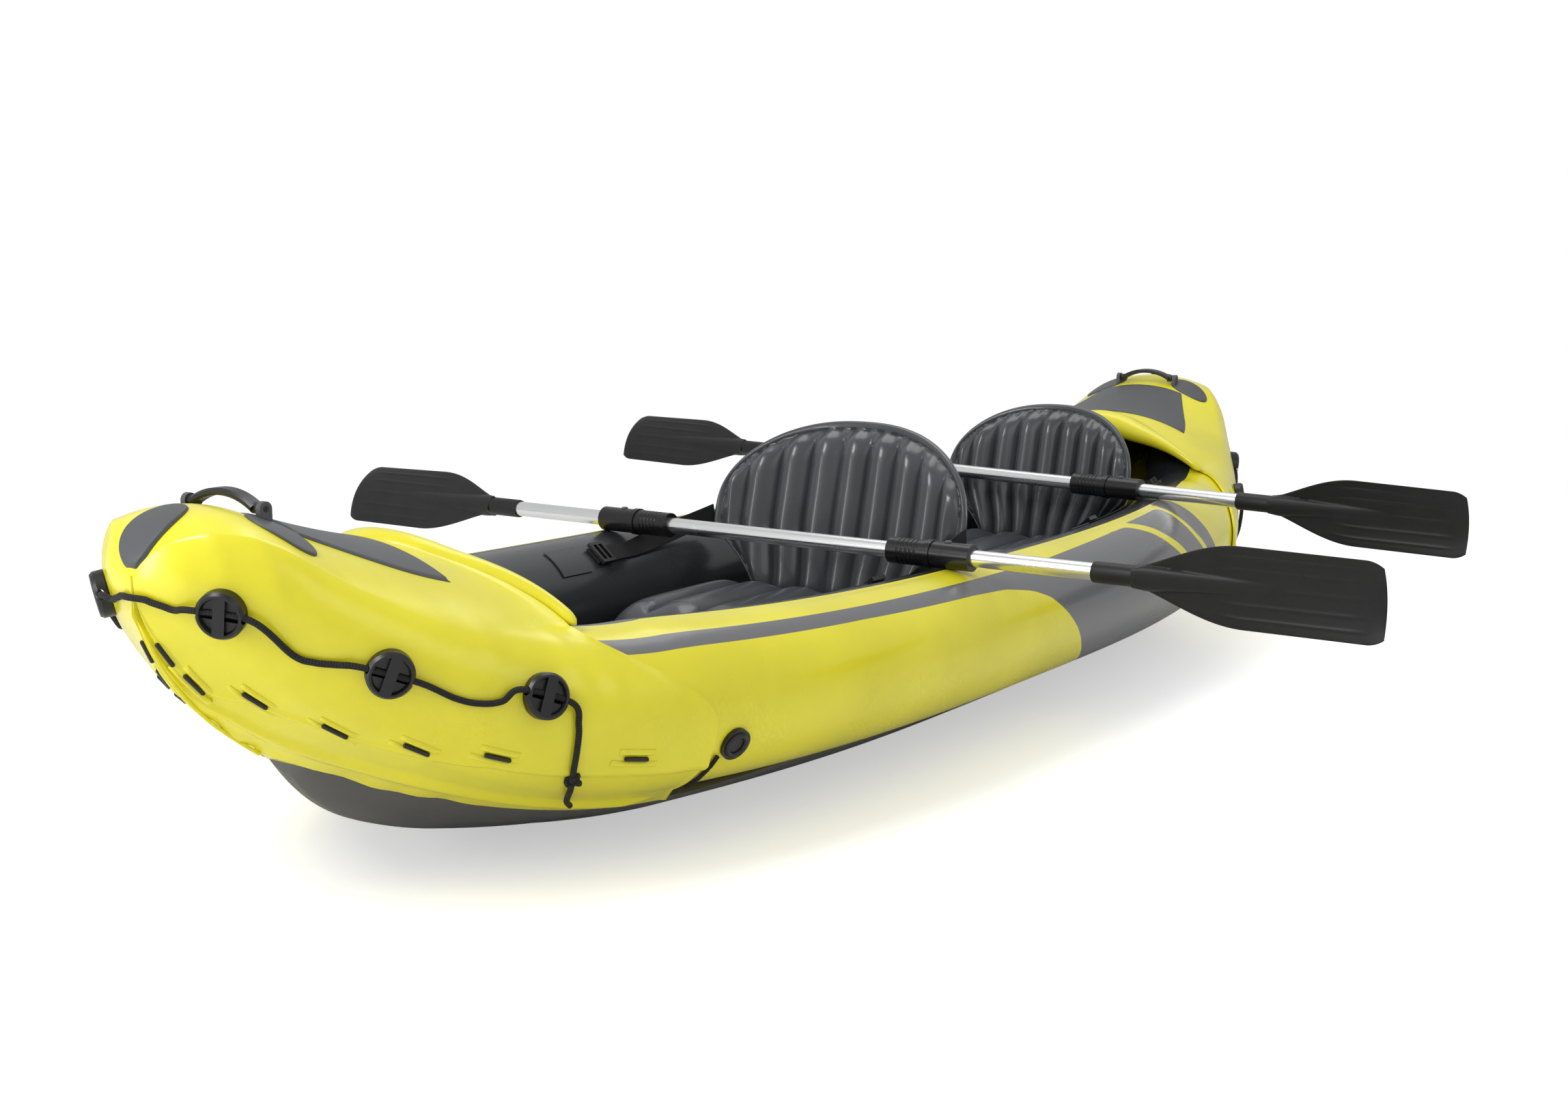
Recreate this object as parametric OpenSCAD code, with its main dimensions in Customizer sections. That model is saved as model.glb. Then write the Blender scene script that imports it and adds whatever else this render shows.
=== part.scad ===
// Inflatable tandem kayak with two seats and two take-apart paddles.
// X runs to the bow, Y to port and Z up. The origin is the middle of the flat underside.

/* [Hull] */
// Length from nose to nose
hull_len = 2900; // [2800:10:3000]
// Radius of each side tube amidships
tube_r = 109; // [102:1:115]
// Growth of the side tubes' radius towards the ends
tube_swell = 6; // [0:1:10]
// Distance of each side tube's centre from the middle plane, amidships
tube_y = 354; // [340:1:370]
// Height of the side tubes' underside above the ground, amidships
tube_lift = 88; // [80:1:96]
// Rise of the tubes' underside where the ends begin to narrow
sheer = 16; // [8:1:24]
// Height of the floor chamber
floor_h = 112; // [100:1:120]
// Depth of the channels between the floor's air beams
floor_channel = 12; // [4:1:16]
// Air beams across the floor
floor_beams = 5; // [3:1:7]
// Half-width of the flat underside, amidships
keel_w = 200; // [170:1:220]

/* [End covers] */
// Length of each swept-up end
end_len = 560; // [530:5:590]
// Rise of the underside over a swept-up end
stem_rise = 205; // [185:1:215]
// Length of the rounded nose
nose_len = 118; // [105:1:130]
// Height of the deck at the splash roll
deck_h = 427; // [415:1:440]
// Thickness of the cover sheet
cover_t = 3; // [2:0.5:4]
// Room between a cover and the tubes inside it
cover_gap = 2.5; // [2.5:0.1:3.5]
// Radius of the splash roll at its middle
roll_r = 28; // [22:1:32]
// Thickness of the welded patches and deck panels
patch_t = 2.5; // [2:0.5:4]

/* [Lines and handles] */
// Diameter of the grab line
line_d = 8; // [6:0.5:9]
// Diameter of the discs that carry the grab line
disc_d = 58; // [54:1:64]
// Height of the line discs
disc_h = 15; // [13:1:17]
// Diameter of the lacing cord
lace_d = 6; // [4:0.5:8]
// Span of a carry handle between its lugs
handle_span = 130; // [115:1:145]
// Rise of a carry handle's middle above its pivots
handle_rise = 16; // [13:0.5:20]
// Diameter of a carry handle's pivot pins
handle_pin_d = 8; // [6:0.5:10]

/* [Seats] */
// Place of the front backrest's foot along the hull
front_seat_x = 32; // [10:1:50]
// Place of the rear backrest's foot along the hull
rear_seat_x = -735; // [-750:1:-732]
// Length of a seat cushion
cushion_len = 370; // [330:5:380]
// Height of a seat cushion
cushion_h = 125; // [100:1:135]
// Height of the front backrest along its slope
front_back_h = 372; // [340:1:380]
// Height of the rear backrest along its slope
rear_back_h = 350; // [330:1:370]
// Half-width of the front backrest
front_back_w = 266; // [250:1:270]
// Half-width of the rear backrest
rear_back_w = 214; // [205:1:225]
// Thickness of a backrest
back_t = 84; // [60:1:88]
// Forward bend of a backrest's sides
back_bend = 58; // [40:1:65]
// Lean of a backrest from upright
back_lean = 14; // [12:0.5:18]
// Upright flutes of a backrest
back_flutes = 9; // [7:2:11]
// Width of the seat straps
strap_w = 34; // [25:1:40]
// Thickness of the seat straps
strap_t = 2.4; // [1.5:0.1:3]

/* [Paddles] */
// Length of a paddle from end to end
paddle_len = 2050; // [1950:10:2150]
// Diameter of the paddle shaft
shaft_d = 27; // [24:1:30]
// Wall of the paddle shaft
shaft_wall = 1.6; // [1.2:0.1:2.5]
// Outer diameter of a coupler sleeve
coupler_d = 43; // [38:1:48]
// Length of a coupler sleeve
coupler_len = 150; // [130:1:170]
// Distance of a coupler's inner end from the paddle's middle
coupler_in = 228; // [210:1:250]
// Length of a blade with its socket
blade_len = 438; // [400:1:470]
// Width of a blade
blade_w = 126; // [110:1:140]
// Running clearance between a shaft and its coupler
shaft_clear = 0.08; // [0.04:0.01:0.1]
// Place of the front paddle along the hull
front_paddle_x = 207; // [195:1:230]
// Place of the rear paddle along the hull
rear_paddle_x = -697; // [-700:1:-680]
// Lean of the port blades' width from upright
port_feather = -8; // [-60:1:60]
// Lean of the starboard blades' width from upright
starboard_feather = 36; // [-60:1:60]

/* [Fits] */
// Gap between soft pieces that lie on each other
seat_gap = 0.5; // [0.3:0.1:0.8]
// Gap between the floor and the curved sides of the tubes
floor_gap = 1; // [0.8:0.1:1.5]

/* [Hidden] */
$fn = 48;

yellow = [0.95, 0.88, 0.16];
grey = [0.42, 0.42, 0.44];
charcoal = [0.23, 0.24, 0.26];
black = [0.09, 0.09, 0.10];
silver = [0.80, 0.81, 0.82];

tip = hull_len / 2;
swept_s = tip - end_len;
nose_s = tip - nose_len;
plan_end = tip - 2;
roll_s = tip - 383;
deck_edge_s = roll_s + 35;
corner_s = tip - 443;
skirt_s = tip - 576;
rim_s = tip - 643;
stem_s = tip - 168;
floor_end = tip - 209;
tube_tip = tip - 45;
cover_o = cover_gap + cover_t;
patch_o = cover_o + 0.9;
line_o = cover_o + line_d / 2 + 2.2;
seam = 1;
rim_out = 16;
rim_drop = 12;
stem_drop = 38;
turn_angle = -67;
deck_slope = 0.18;
deck_curve = 0.0004;
taper = 15;
tube_ease = 3;
sheer_at = tip - 450;
rise_over = 500;
swell_at = 850;
nose_share = 0.3;
chin_power = 3;
rake_power = 1.8;

// Soft step and ramp from 0 to 1
function ramp(x) = min(max(x, 0), 1);
function smooth(x) = let (t = ramp(x)) t * t * (3 - 2 * t);
function mix(a, b, t) = a + (b - a) * t;
function unit(v) = v / norm(v);
function bezier(p, q, r, t) = (1 - t) * (1 - t) * p + 2 * t * (1 - t) * q + t * t * r;

// Hull lines along the distance s from amidships
function tube_yc(s) = tube_y * pow(max(0, 1 - pow(s / plan_end, 3)), 0.95);
function radius(s) =
    tube_r + tube_swell * pow(min(s, swell_at) / swell_at, 2) - taper * ramp((s - swept_s) / 400);
function low0(s) =
    tube_lift + sheer * pow(s / sheer_at, 3) + stem_rise * pow(max(0, s - swept_s) / rise_over, 2);
function high0(s) = deck_h + deck_slope * (s - roll_s) + deck_curve * pow(s - roll_s, 2);
function middle0(s) = mix(low0(s), high0(s), nose_share);
function bulge(s, end, power) = let (t = ramp((s - nose_s) / (end - nose_s)))
    pow(max(0, 1 - pow(t, power)), 1 / power);
function rounding(s, end) = bulge(s, end, 2);
function low(s, end) = middle0(s) - (middle0(s) - low0(s)) * bulge(s, end, chin_power);
function high(s, end) = middle0(s) + (high0(s) - middle0(s)) * bulge(s, end, rake_power);
function tube_top(s) = low0(s) + 2 * radius(s);
function shoulder(s) = mix(76, 45, smooth((s - corner_s) / 180));
function rim_part(s) = ramp((s - rim_s) / (stem_s - rim_s));
function rim_y(s) = (tube_yc(rim_s) + rim_out) * (1 - pow(rim_part(s), 1.4));
function rim_fall(s) = rim_drop + stem_drop * pow(rim_part(s), 1.5);

// Section of an end at s: 0 is the deck's middle, 1 the shoulder, 2 the turn below and 3 the rim
function section(s, a, o) = let (
    end = nose_end(o),
    f = rounding(s, end),
    r = (radius(s) + o) * f,
    c = [tube_yc(s), low(s, end) + radius(s) * f],
    t1 = shoulder(s),
    p1 = c + r * [cos(t1), sin(t1)],
    p2 = c + r * [cos(turn_angle), sin(turn_angle)],
    top = high(s, end) + o * f,
    side = max(rim_y(s), seam / 2 * f) + o * f * cos(turn_angle),
    rim = [side, low(s, end) - rim_fall(s) * f + o * f * sin(turn_angle)],
    angle = mix(t1, turn_angle, a - 1))
    a <= 1 ? bezier([0, top], [0.55 * p1.x, top], p1, a)
    : a <= 2 ? c + r * [cos(angle), sin(angle)]
    : mix(p2, rim, a - 2);
function nose_end(o) = tip - cover_o + o;
function end_point(s, a, o) = let (p = section(s, abs(a), o)) [s, (a < 0 ? -1 : 1) * p.x, p.y];
function end_normal(s, a) = let (
    d = 0.01,
    u = end_point(s + 1, a, cover_o) - end_point(s - 1, a, cover_o),
    v = end_point(s, a + d, cover_o) - end_point(s, a - d, cover_o))
    unit(cross(u, v));
function end_axes(s, a) = let (
    n = end_normal(s, a),
    u = unit(end_point(s + 1, a, cover_o) - end_point(s - 1, a, cover_o)))
    [u, cross(n, u), n];

// The free edge of a cover, from the deck's middle to the rim
function cover_edge(a) = let (angle = mix(shoulder(corner_s), turn_angle, a - 1))
    a <= 1 ? mix(deck_edge_s, corner_s, smooth(a))
    : a <= 2 ? mix(skirt_s, corner_s, smooth((angle + 5) / 75))
    : mix(skirt_s, skirt_s - 17, a - 2);
function roll_radius(a) = mix(roll_r, 8, smooth(abs(a)));

// A place on a side tube: side is 1 to port, angle 0 faces outboard and 90 up
function tube_point(x, angle, side, o) = let (s = abs(x), r = radius(s) + o)
    [x, side * (tube_yc(s) + r * cos(angle)), low0(s) + radius(s) + r * sin(angle)];
function tube_axes(x, angle, side) = let (
    u = unit(tube_point(x + 1, angle, side, 0) - tube_point(x - 1, angle, side, 0)),
    w = unit(tube_point(x, angle, side, 1) - tube_point(x, angle, side, 0)),
    v = unit(cross(w, u)))
    [u, v, cross(u, v)];
function tube_radius(s) = radius(s) - tube_ease * ramp((s - roll_s) / 200);
function inner_wall(x) = tube_yc(abs(x)) - radius(abs(x));

// Closed solid through rings of equal counts, with flat ends
module loft(rings) {
    n = len(rings[0]);
    m = len(rings);
    polyhedron(
        points = [for (ring = rings) each ring],
        faces = concat(
            [for (i = [0 : m - 2], j = [0 : n - 1]) [i * n + j, (i + 1) * n + j, i * n + (j + 1) % n]],
            [for (i = [0 : m - 2], j = [0 : n - 1])
                [i * n + (j + 1) % n, (i + 1) * n + j, (i + 1) * n + (j + 1) % n]],
            [[for (j = [0 : n - 1]) j]],
            [[for (j = [n - 1 : -1 : 0]) (m - 1) * n + j]]));
}

// Closed sheet between two grids of points, each a list of rows
module sheet(outer, inner) {
    m = len(outer);
    n = len(outer[0]);
    k = m * n;
    polyhedron(
        points = concat([for (row = outer) each row], [for (row = inner) each row]),
        faces = concat(
            [for (i = [0 : m - 2], j = [0 : n - 2]) each let (p = i * n + j)
                [[p, p + n, p + 1], [p + 1, p + n, p + n + 1]]],
            [for (i = [0 : m - 2], j = [0 : n - 2]) each let (p = k + i * n + j)
                [[p, p + 1, p + n], [p + 1, p + n + 1, p + n]]],
            [for (j = [0 : n - 2]) each [[j, j + 1, k + j], [j + 1, k + j + 1, k + j]]],
            [for (j = [0 : n - 2]) each let (p = (m - 1) * n + j)
                [[p, k + p, p + 1], [p + 1, k + p, k + p + 1]]],
            [for (i = [0 : m - 2]) each let (p = i * n) [[p, k + p, p + n], [p + n, k + p, k + p + n]]],
            [for (i = [0 : m - 2]) each let (p = i * n + n - 1)
                [[p, p + n, k + p], [p + n, k + p + n, k + p]]]));
}

// Closed sheet whose last row runs out to a point on each side
module pointed_sheet(outer, inner, outer_tip, inner_tip) {
    m = len(outer);
    n = len(outer[0]);
    k = m * n;
    last = (m - 1) * n;
    polyhedron(
        points = concat(
            [for (row = outer) each row], [for (row = inner) each row], [outer_tip, inner_tip]),
        faces = concat(
            [for (i = [0 : m - 2], j = [0 : n - 2]) each let (p = i * n + j)
                [[p, p + n, p + 1], [p + 1, p + n, p + n + 1]]],
            [for (i = [0 : m - 2], j = [0 : n - 2]) each let (p = k + i * n + j)
                [[p, p + 1, p + n], [p + 1, p + n + 1, p + n]]],
            [for (j = [0 : n - 2]) each [[j, j + 1, k + j], [j + 1, k + j + 1, k + j]]],
            [for (i = [0 : m - 2]) each let (p = i * n) [[p, k + p, p + n], [p + n, k + p, k + p + n]]],
            [for (i = [0 : m - 2]) each let (p = i * n + n - 1)
                [[p, p + n, k + p], [p + n, k + p + n, k + p]]],
            [for (j = [0 : n - 2]) [last + j, 2 * k, last + j + 1]],
            [for (j = [0 : n - 2]) [k + last + j, k + last + j + 1, 2 * k + 1]],
            [[last, k + last, 2 * k], [2 * k, k + last, 2 * k + 1]],
            [[last + n - 1, 2 * k, k + last + n - 1], [2 * k, 2 * k + 1, k + last + n - 1]]));
}

// Closed round sheet from its two middles and two rings of points on each face
module disc_sheet(top, top_half, top_rim, foot, foot_half, foot_rim) {
    n = len(top_rim);
    polyhedron(
        points = concat([top, foot], top_half, top_rim, foot_half, foot_rim),
        faces = [for (j = [0 : n - 1]) each let (i = (j + 1) % n) [
            [0, 2 + i, 2 + j],
            [2 + j, 2 + i, 2 + n + j], [2 + i, 2 + n + i, 2 + n + j],
            [2 + n + j, 2 + n + i, 2 + 3 * n + j], [2 + n + i, 2 + 3 * n + i, 2 + 3 * n + j],
            [2 + 3 * n + j, 2 + 3 * n + i, 2 + 2 * n + j], [2 + 3 * n + i, 2 + 2 * n + i, 2 + 2 * n + j],
            [2 + 2 * n + j, 2 + 2 * n + i, 1]]]);
}

// Oval patch that follows an end cover, between two heights above the tubes
module end_patch(s0, a0, half_s, half_a, lower, upper, n) {
    function at(t, g, o) = end_point(s0 + half_s * t * cos(g), a0 + half_a * t * sin(g), o);
    function ring(t, o) = [for (j = [0 : n - 1]) at(t, 360 * j / n, o)];
    disc_sheet(
        at(0, 0, upper), ring(0.5, upper), ring(1, upper),
        at(0, 0, lower), ring(0.5, lower), ring(1, lower));
}

// Round cord through points, each with a direction that isn't along the cord
module cord(points, ups, d, sides = 8) {
    last = len(points) - 1;
    loft([for (i = [0 : last]) let (
        t = unit(points[min(i + 1, last)] - points[max(i - 1, 0)]),
        u = unit(cross(ups[i], t)),
        w = cross(t, u))
        [for (j = [0 : sides - 1]) let (g = 360 * j / sides)
            points[i] + d / 2 * (cos(g) * u + sin(g) * w)]]);
}

// Flat strap through points, with the direction of its outer face at each
module strap(points, outs, w, t) {
    last = len(points) - 1;
    loft([for (i = [0 : last]) let (
        along = unit(points[min(i + 1, last)] - points[max(i - 1, 0)]),
        across = unit(cross(outs[i], along)),
        out = cross(along, across))
        [for (c = [[-1, -1], [1, -1], [1, 1], [-1, 1]])
            points[i] + c.x * w / 2 * across + c.y * t / 2 * out]]);
}

// Move children to a point, with their axes along three given directions
module place(p, axes) {
    multmatrix([
        [axes[0].x, axes[1].x, axes[2].x, p.x],
        [axes[0].y, axes[1].y, axes[2].y, p.y],
        [axes[0].z, axes[1].z, axes[2].z, p.z],
        [0, 0, 0, 1]])
        children();
}

module both_sides() {
    children();
    mirror([0, 1, 0]) children();
}

module both_ends() {
    children();
    mirror([1, 0, 0]) children();
}

// Hull

tube_sides = 24;
tube_stations = [
    200, 400, 600, 750, 880, 980, 1060, 1130, 1200, 1260, 1320, 1375, 1430, 1482];

// Rings where one welded length of a tube ends and the next begins, and the gap at such a weld
tube_welds = [0, 7, 10, 12, 13, 15, 16, 18, 21, 28];
weld_gap = 0.3;

function tube_ring(x, side) = let (
    s = abs(x),
    f = rounding(s, tube_tip),
    r = tube_radius(s) * f,
    c = [tube_yc(s), low(s, tube_tip) + radius(s) * f])
    [for (j = [0 : tube_sides - 1]) let (g = side * 360 * j / tube_sides)
        [x, side * max(seam / 2, c.x + r * cos(g)), c.y + r * sin(g)]];

// A side tube, welded up end to end from short lengths
module side_tube(side) {
    half = [for (s = tube_stations) s * tube_tip / 1490];
    xs = concat([for (i = [len(half) - 1 : -1 : 0]) -half[i]], [0], half);
    last = len(xs) - 1;
    color(yellow) for (k = [0 : len(tube_welds) - 2]) {
        i0 = tube_welds[k];
        i1 = tube_welds[k + 1];
        loft([for (i = [i0 : i1]) tube_ring(
            xs[i] + (i == i0 && i > 0 ? weld_gap / 2 : 0) - (i == i1 && i < last ? weld_gap / 2 : 0), side)]);
    }
}

module port_tube() side_tube(1);
module starboard_tube() side_tube(-1);

floor_stations = [100, 300, 500, 650, 780, 870, 940, 1010, 1080, 1140, 1200, 1240, 1270, 1290, 1305];
keel_start = rim_s;
keel_narrowing = 240;
keel_least = 8;
keel_curve = 0.00066;
floor_thin = 0.5;
floor_round = 110;
bilge_in = 10;
function keel_line(s) = keel_curve * pow(max(0, s - keel_start), 2);
function end_turn(s) = 1 - sqrt(1 - pow(0.97 * ramp((s - floor_end + floor_round) / floor_round), 2));
function keel_z(s) = mix(keel_line(s), bilge_top(s).y - 4, end_turn(s));
function keel_y(s) = max(keel_least, keel_w - keel_narrowing * pow(s / sheer_at, 2.5));
function floor_thick(s) = floor_h * (1 - floor_thin * ramp((s - keel_start) / (floor_end - keel_start)));
function floor_top(s) = max(keel_line(s) + floor_thick(s), bilge_top(s).y + floor_channel + 4);
function bilge_top(s) = let (q = s / rim_s)
    s < rim_s
    ? [tube_yc(s) + rim_out * q * q - bilge_in * (1 - q),
        low0(s) - floor_gap - (rim_drop - floor_gap) * pow(q, 4)]
    : [rim_y(s) - 1, low0(s) - rim_fall(s)];
function beam_drop(p) = floor_channel * (1 - abs(sin(floor_beams * 90 * (p + 1))));

// Port half of the floor's outline: bilge, then round the underside of the tube to the sole's edge
function floor_side(s) = let (
    keel = [keel_y(s), keel_z(s)],
    a = bilge_top(s),
    knee = [mix(keel.x, a.x, 0.60), mix(keel.y, a.y, 0.36)],
    c = [tube_yc(s), low0(s) + radius(s)],
    r = radius(s) + floor_gap,
    edge_z = floor_top(s) - floor_channel,
    drop = min(1, (c.y - edge_z) / r),
    start = -97,
    stop = -180 + asin(drop))
    concat(
        [keel],
        [for (t = [0.33, 0.67]) bezier(keel, knee, a, t)],
        [a],
        [for (t = [0, 0.33, 0.67, 1]) let (g = mix(start, min(stop, start - 2), t))
            [min(a.x, c.x + r * cos(g)), min(edge_z - 1 + t, c.y + r * sin(g))]]);

module floor_chamber() {
    half = [for (s = floor_stations) s * floor_end / 1305];
    xs = concat([for (i = [len(half) - 1 : -1 : 0]) -half[i]], half);
    count = 4 * floor_beams;
    color(grey) loft([for (x = xs) let (
        s = abs(x),
        side = floor_side(s),
        n = len(side),
        edge = side[n - 1])
        concat(
            [for (p = side) [x, p.x, p.y]],
            [for (i = [1 : count - 1]) let (p = 1 - 2 * i / count)
                [x, edge.x * p, floor_top(s) - beam_drop(p)]],
            [for (i = [n - 1 : -1 : 0]) [x, -side[i].x, side[i].y]])]);
}

// End covers

cover_columns = concat(
    [for (i = [0 : 5]) i / 6], [for (i = [0 : 9]) 1 + i / 10], [for (i = [0 : 3]) 2 + i / 3]);
cover_rows = 12;

function cover_grid(o) = let (n = len(cover_columns))
    [for (i = [0 : cover_rows - 1]) let (v = sin(90 * i / cover_rows))
        [for (j = [n - 1 : -1 : -n + 1]) let (
            a = (j < 0 ? -1 : 1) * cover_columns[abs(j)],
            e = cover_edge(abs(a)))
            end_point(mix(e, nose_end(o), v), a, o)]];
function nose_point(o) = [nose_end(o), 0, middle0(nose_end(o))];

module end_cover() {
    color(yellow) pointed_sheet(
        cover_grid(cover_o), cover_grid(cover_gap), nose_point(cover_o), nose_point(cover_gap));
}

module bow_cover() end_cover();
module stern_cover() mirror([1, 0, 0]) end_cover();

roll_ease = 12;
roll_steps = 10;
roll_sides = 10;

// The roll butts on the deck's free edge and comes down onto the tubes at its ends
module splash_roll() {
    spots = [for (i = [-roll_steps : roll_steps]) i / roll_steps];
    centres = [for (a = spots) let (
        r = roll_radius(a),
        o = mix(-6, r + 2 * seat_gap, smooth((abs(a) - 0.3) / 0.7)))
        end_point(cover_edge(abs(a)) - r - 2 * seat_gap - roll_ease * abs(a) * (1 - abs(a)), a, o)];
    last = len(spots) - 1;
    color(yellow) loft([for (i = [0 : last]) let (
        t = unit(centres[min(i + 1, last)] - centres[max(i - 1, 0)]),
        u = unit(cross([1, 0, 0], t)),
        w = cross(t, u),
        r = roll_radius(spots[i]) * (i == 0 || i == last ? 0.6 : 1))
        [for (j = [0 : roll_sides - 1]) let (g = 360 * (j + 0.5) / roll_sides)
            centres[i] + r * (cos(g) * u + sin(g) * w)]]);
}

module bow_splash_roll() splash_roll();
module stern_splash_roll() mirror([1, 0, 0]) splash_roll();

// Oval patch round the nose, placed by the angle v of the nose's curve
module nose_patch() {
    v0 = 54;
    half_v = 25;
    half_a = 0.72;
    n = 24;
    function at(t, g, o) = end_point(
        nose_s + (nose_end(o) - nose_s) * sin(v0 + half_v * t * cos(g)), half_a * t * sin(g), o);
    function ring(t, o) = [for (j = [0 : n - 1]) at(t, 360 * j / n, o)];
    color(grey) disc_sheet(
        at(0, 0, patch_o + patch_t), ring(0.5, patch_o + patch_t), ring(1, patch_o + patch_t),
        at(0, 0, patch_o), ring(0.5, patch_o), ring(1, patch_o));
}

module bow_nose_patch() nose_patch();
module stern_nose_patch() mirror([1, 0, 0]) nose_patch();

handle_s = tip - 136;
panel_aft = deck_edge_s + 20;
panel_fore = handle_s - 26;
panel_aft_a = 0.66;
panel_fore_a = 0.50;

function panel_grid(o) = [for (i = [0 : 6]) let (v = i / 6, s = mix(panel_aft, panel_fore, v))
    [for (j = [4 : -1 : -4]) end_point(s, mix(panel_aft_a, panel_fore_a, v) * j / 4, o)]];

module deck_panel() {
    color(grey) sheet(panel_grid(patch_o + patch_t), panel_grid(patch_o));
}

module bow_deck_panel() deck_panel();
module stern_deck_panel() mirror([1, 0, 0]) deck_panel();

// Carry handles

lug_t = 8;
lug_r = 9;
hub_r = 7;
hub_l = 11;
hub_clear = 2.3;
pin_clear = 0.08;
handle_y = handle_span / 2;
arm_y = handle_y - 8;
lug_y = handle_y + lug_t / 2 + seat_gap;

// The section's parameter where the deck lies at a given y
function deck_a(s, y, lo = 0, hi = 1.4, n = 24) = let (m = (lo + hi) / 2)
    n == 0 ? m : section(s, m, patch_o).x < y ? deck_a(s, y, m, hi, n - 1) : deck_a(s, y, lo, m, n - 1);
function deck_z(s, y, o) = section(s, deck_a(s, y), o).y;
lug_a = deck_a(handle_s, lug_y);
pivot_z = deck_z(handle_s, arm_y, patch_o + patch_t) + hub_r + hub_clear;

module handle_patches() {
    color(grey) both_ends() both_sides()
        end_patch(handle_s + 12, lug_a + 0.13, 30, 0.21, patch_o, patch_o + patch_t, 12);
}

// Upright lug with a round eye, its foot cut to the slope of the deck
module handle_lug() {
    difference() {
        translate([handle_s, lug_y, pivot_z]) difference() {
            union() {
                translate([0, lug_t / 2, 0]) rotate([90, 0, 0]) cylinder(r = lug_r, h = lug_t);
                translate([-lug_r, -lug_t / 2, -40]) cube([2 * lug_r, lug_t, 40]);
            }
            translate([0, lug_t, 0]) rotate([90, 0, 0])
                cylinder(d = handle_pin_d + 2 * pin_clear, h = 2 * lug_t);
        }
        place(end_point(handle_s, lug_a, patch_o + patch_t + seat_gap), end_axes(handle_s, lug_a))
            translate([-50, -50, -100]) cube(100);
    }
}

module handle_lugs() {
    color(charcoal) both_ends() both_sides() handle_lug();
}

grip_w = 20;
grip_t = 9;
grip_bevel = 2.5;
grip_bend = (arm_y * arm_y + handle_rise * handle_rise) / (2 * handle_rise);
grip_sweep = asin(arm_y / grip_bend);

// A bail: two pins in the lugs and a flat grip that arches between them
module carry_handle() {
    color(black) translate([handle_s, 0, pivot_z]) {
        both_sides() {
            translate([0, lug_y + lug_t / 2, 0]) rotate([90, 0, 0])
                cylinder(d = handle_pin_d, h = lug_y + lug_t / 2 - arm_y);
            translate([0, arm_y + 6, 0]) rotate([90, 0, 0]) cylinder(r = hub_r, h = hub_l);
        }
        translate([0, 0, handle_rise - grip_bend]) rotate([90, 0, 90]) rotate(90 - grip_sweep)
            rotate_extrude(angle = 2 * grip_sweep, $fn = 120) translate([grip_bend, 0])
                polygon([
                    [-grip_t / 2, grip_bevel - grip_w / 2], [grip_bevel - grip_t / 2, -grip_w / 2],
                    [grip_t / 2 - grip_bevel, -grip_w / 2], [grip_t / 2, grip_bevel - grip_w / 2],
                    [grip_t / 2, grip_w / 2 - grip_bevel], [grip_t / 2 - grip_bevel, grip_w / 2],
                    [grip_bevel - grip_t / 2, grip_w / 2], [-grip_t / 2, grip_w / 2 - grip_bevel]]);
    }
}

module bow_handle() carry_handle();
module stern_handle() mirror([1, 0, 0]) carry_handle();

// Grab lines and their discs

// Discs along the line: place, turn of the line and how much flatter than the tube the cover is there
line_discs_at = [[tip - 42, 1.60, 14, 62], [tip - 179, 1.48, 10, 6], [tip - 346, 1.38, -18, 16]];
channel_h = 8.5;
channel_d = line_d + 4;

// Round moulding with a dished face, a bar and a hollow back; the line runs through it under the bar
module line_disc(back_r, turn) {
    r = disc_d / 2;
    rim = 6;
    dish = 5;
    difference() {
        union() {
            translate([0, 0, -6]) rotate_extrude() polygon([
                [0, 0], [r, 0], [r, disc_h + 2], [r - 3, disc_h + 6], [r - rim, disc_h + 6],
                [r - rim - 2, disc_h + 6 - dish], [0, disc_h + 6 - dish]]);
            rotate(turn + 90) translate([-r + rim, -7, disc_h - dish - 1])
                cube([2 * (r - rim), 14, dish + 1]);
        }
        translate([-60, 0, seat_gap - back_r]) rotate([0, 90, 0])
            cylinder(r = back_r, h = 120, $fn = 96);
        rotate(turn) translate([-2 * r, 0, channel_h]) rotate([0, 90, 0])
            cylinder(d = channel_d, h = 4 * r);
    }
}

module end_discs() {
    for (i = [0 : len(line_discs_at) - 1]) let (q = line_discs_at[i])
        place(end_point(q[0], q[1], cover_o), end_axes(q[0], q[1]))
            line_disc(radius(q[0]) + cover_o + q[3], q[2]);
}

module line_discs() {
    color(black) both_ends() both_sides() end_discs();
}

// Where the line leaves a disc: way is -1 aft and 1 forward
function disc_mouth(i, way) = let (
    q = line_discs_at[i],
    e = end_axes(q[0], q[1]),
    l = way * (disc_d / 2 + 6))
    end_point(q[0], q[1], cover_o)
    + l * (cos(q[2]) * e[0] + sin(q[2]) * e[1]) + channel_h * e[2];

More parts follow.
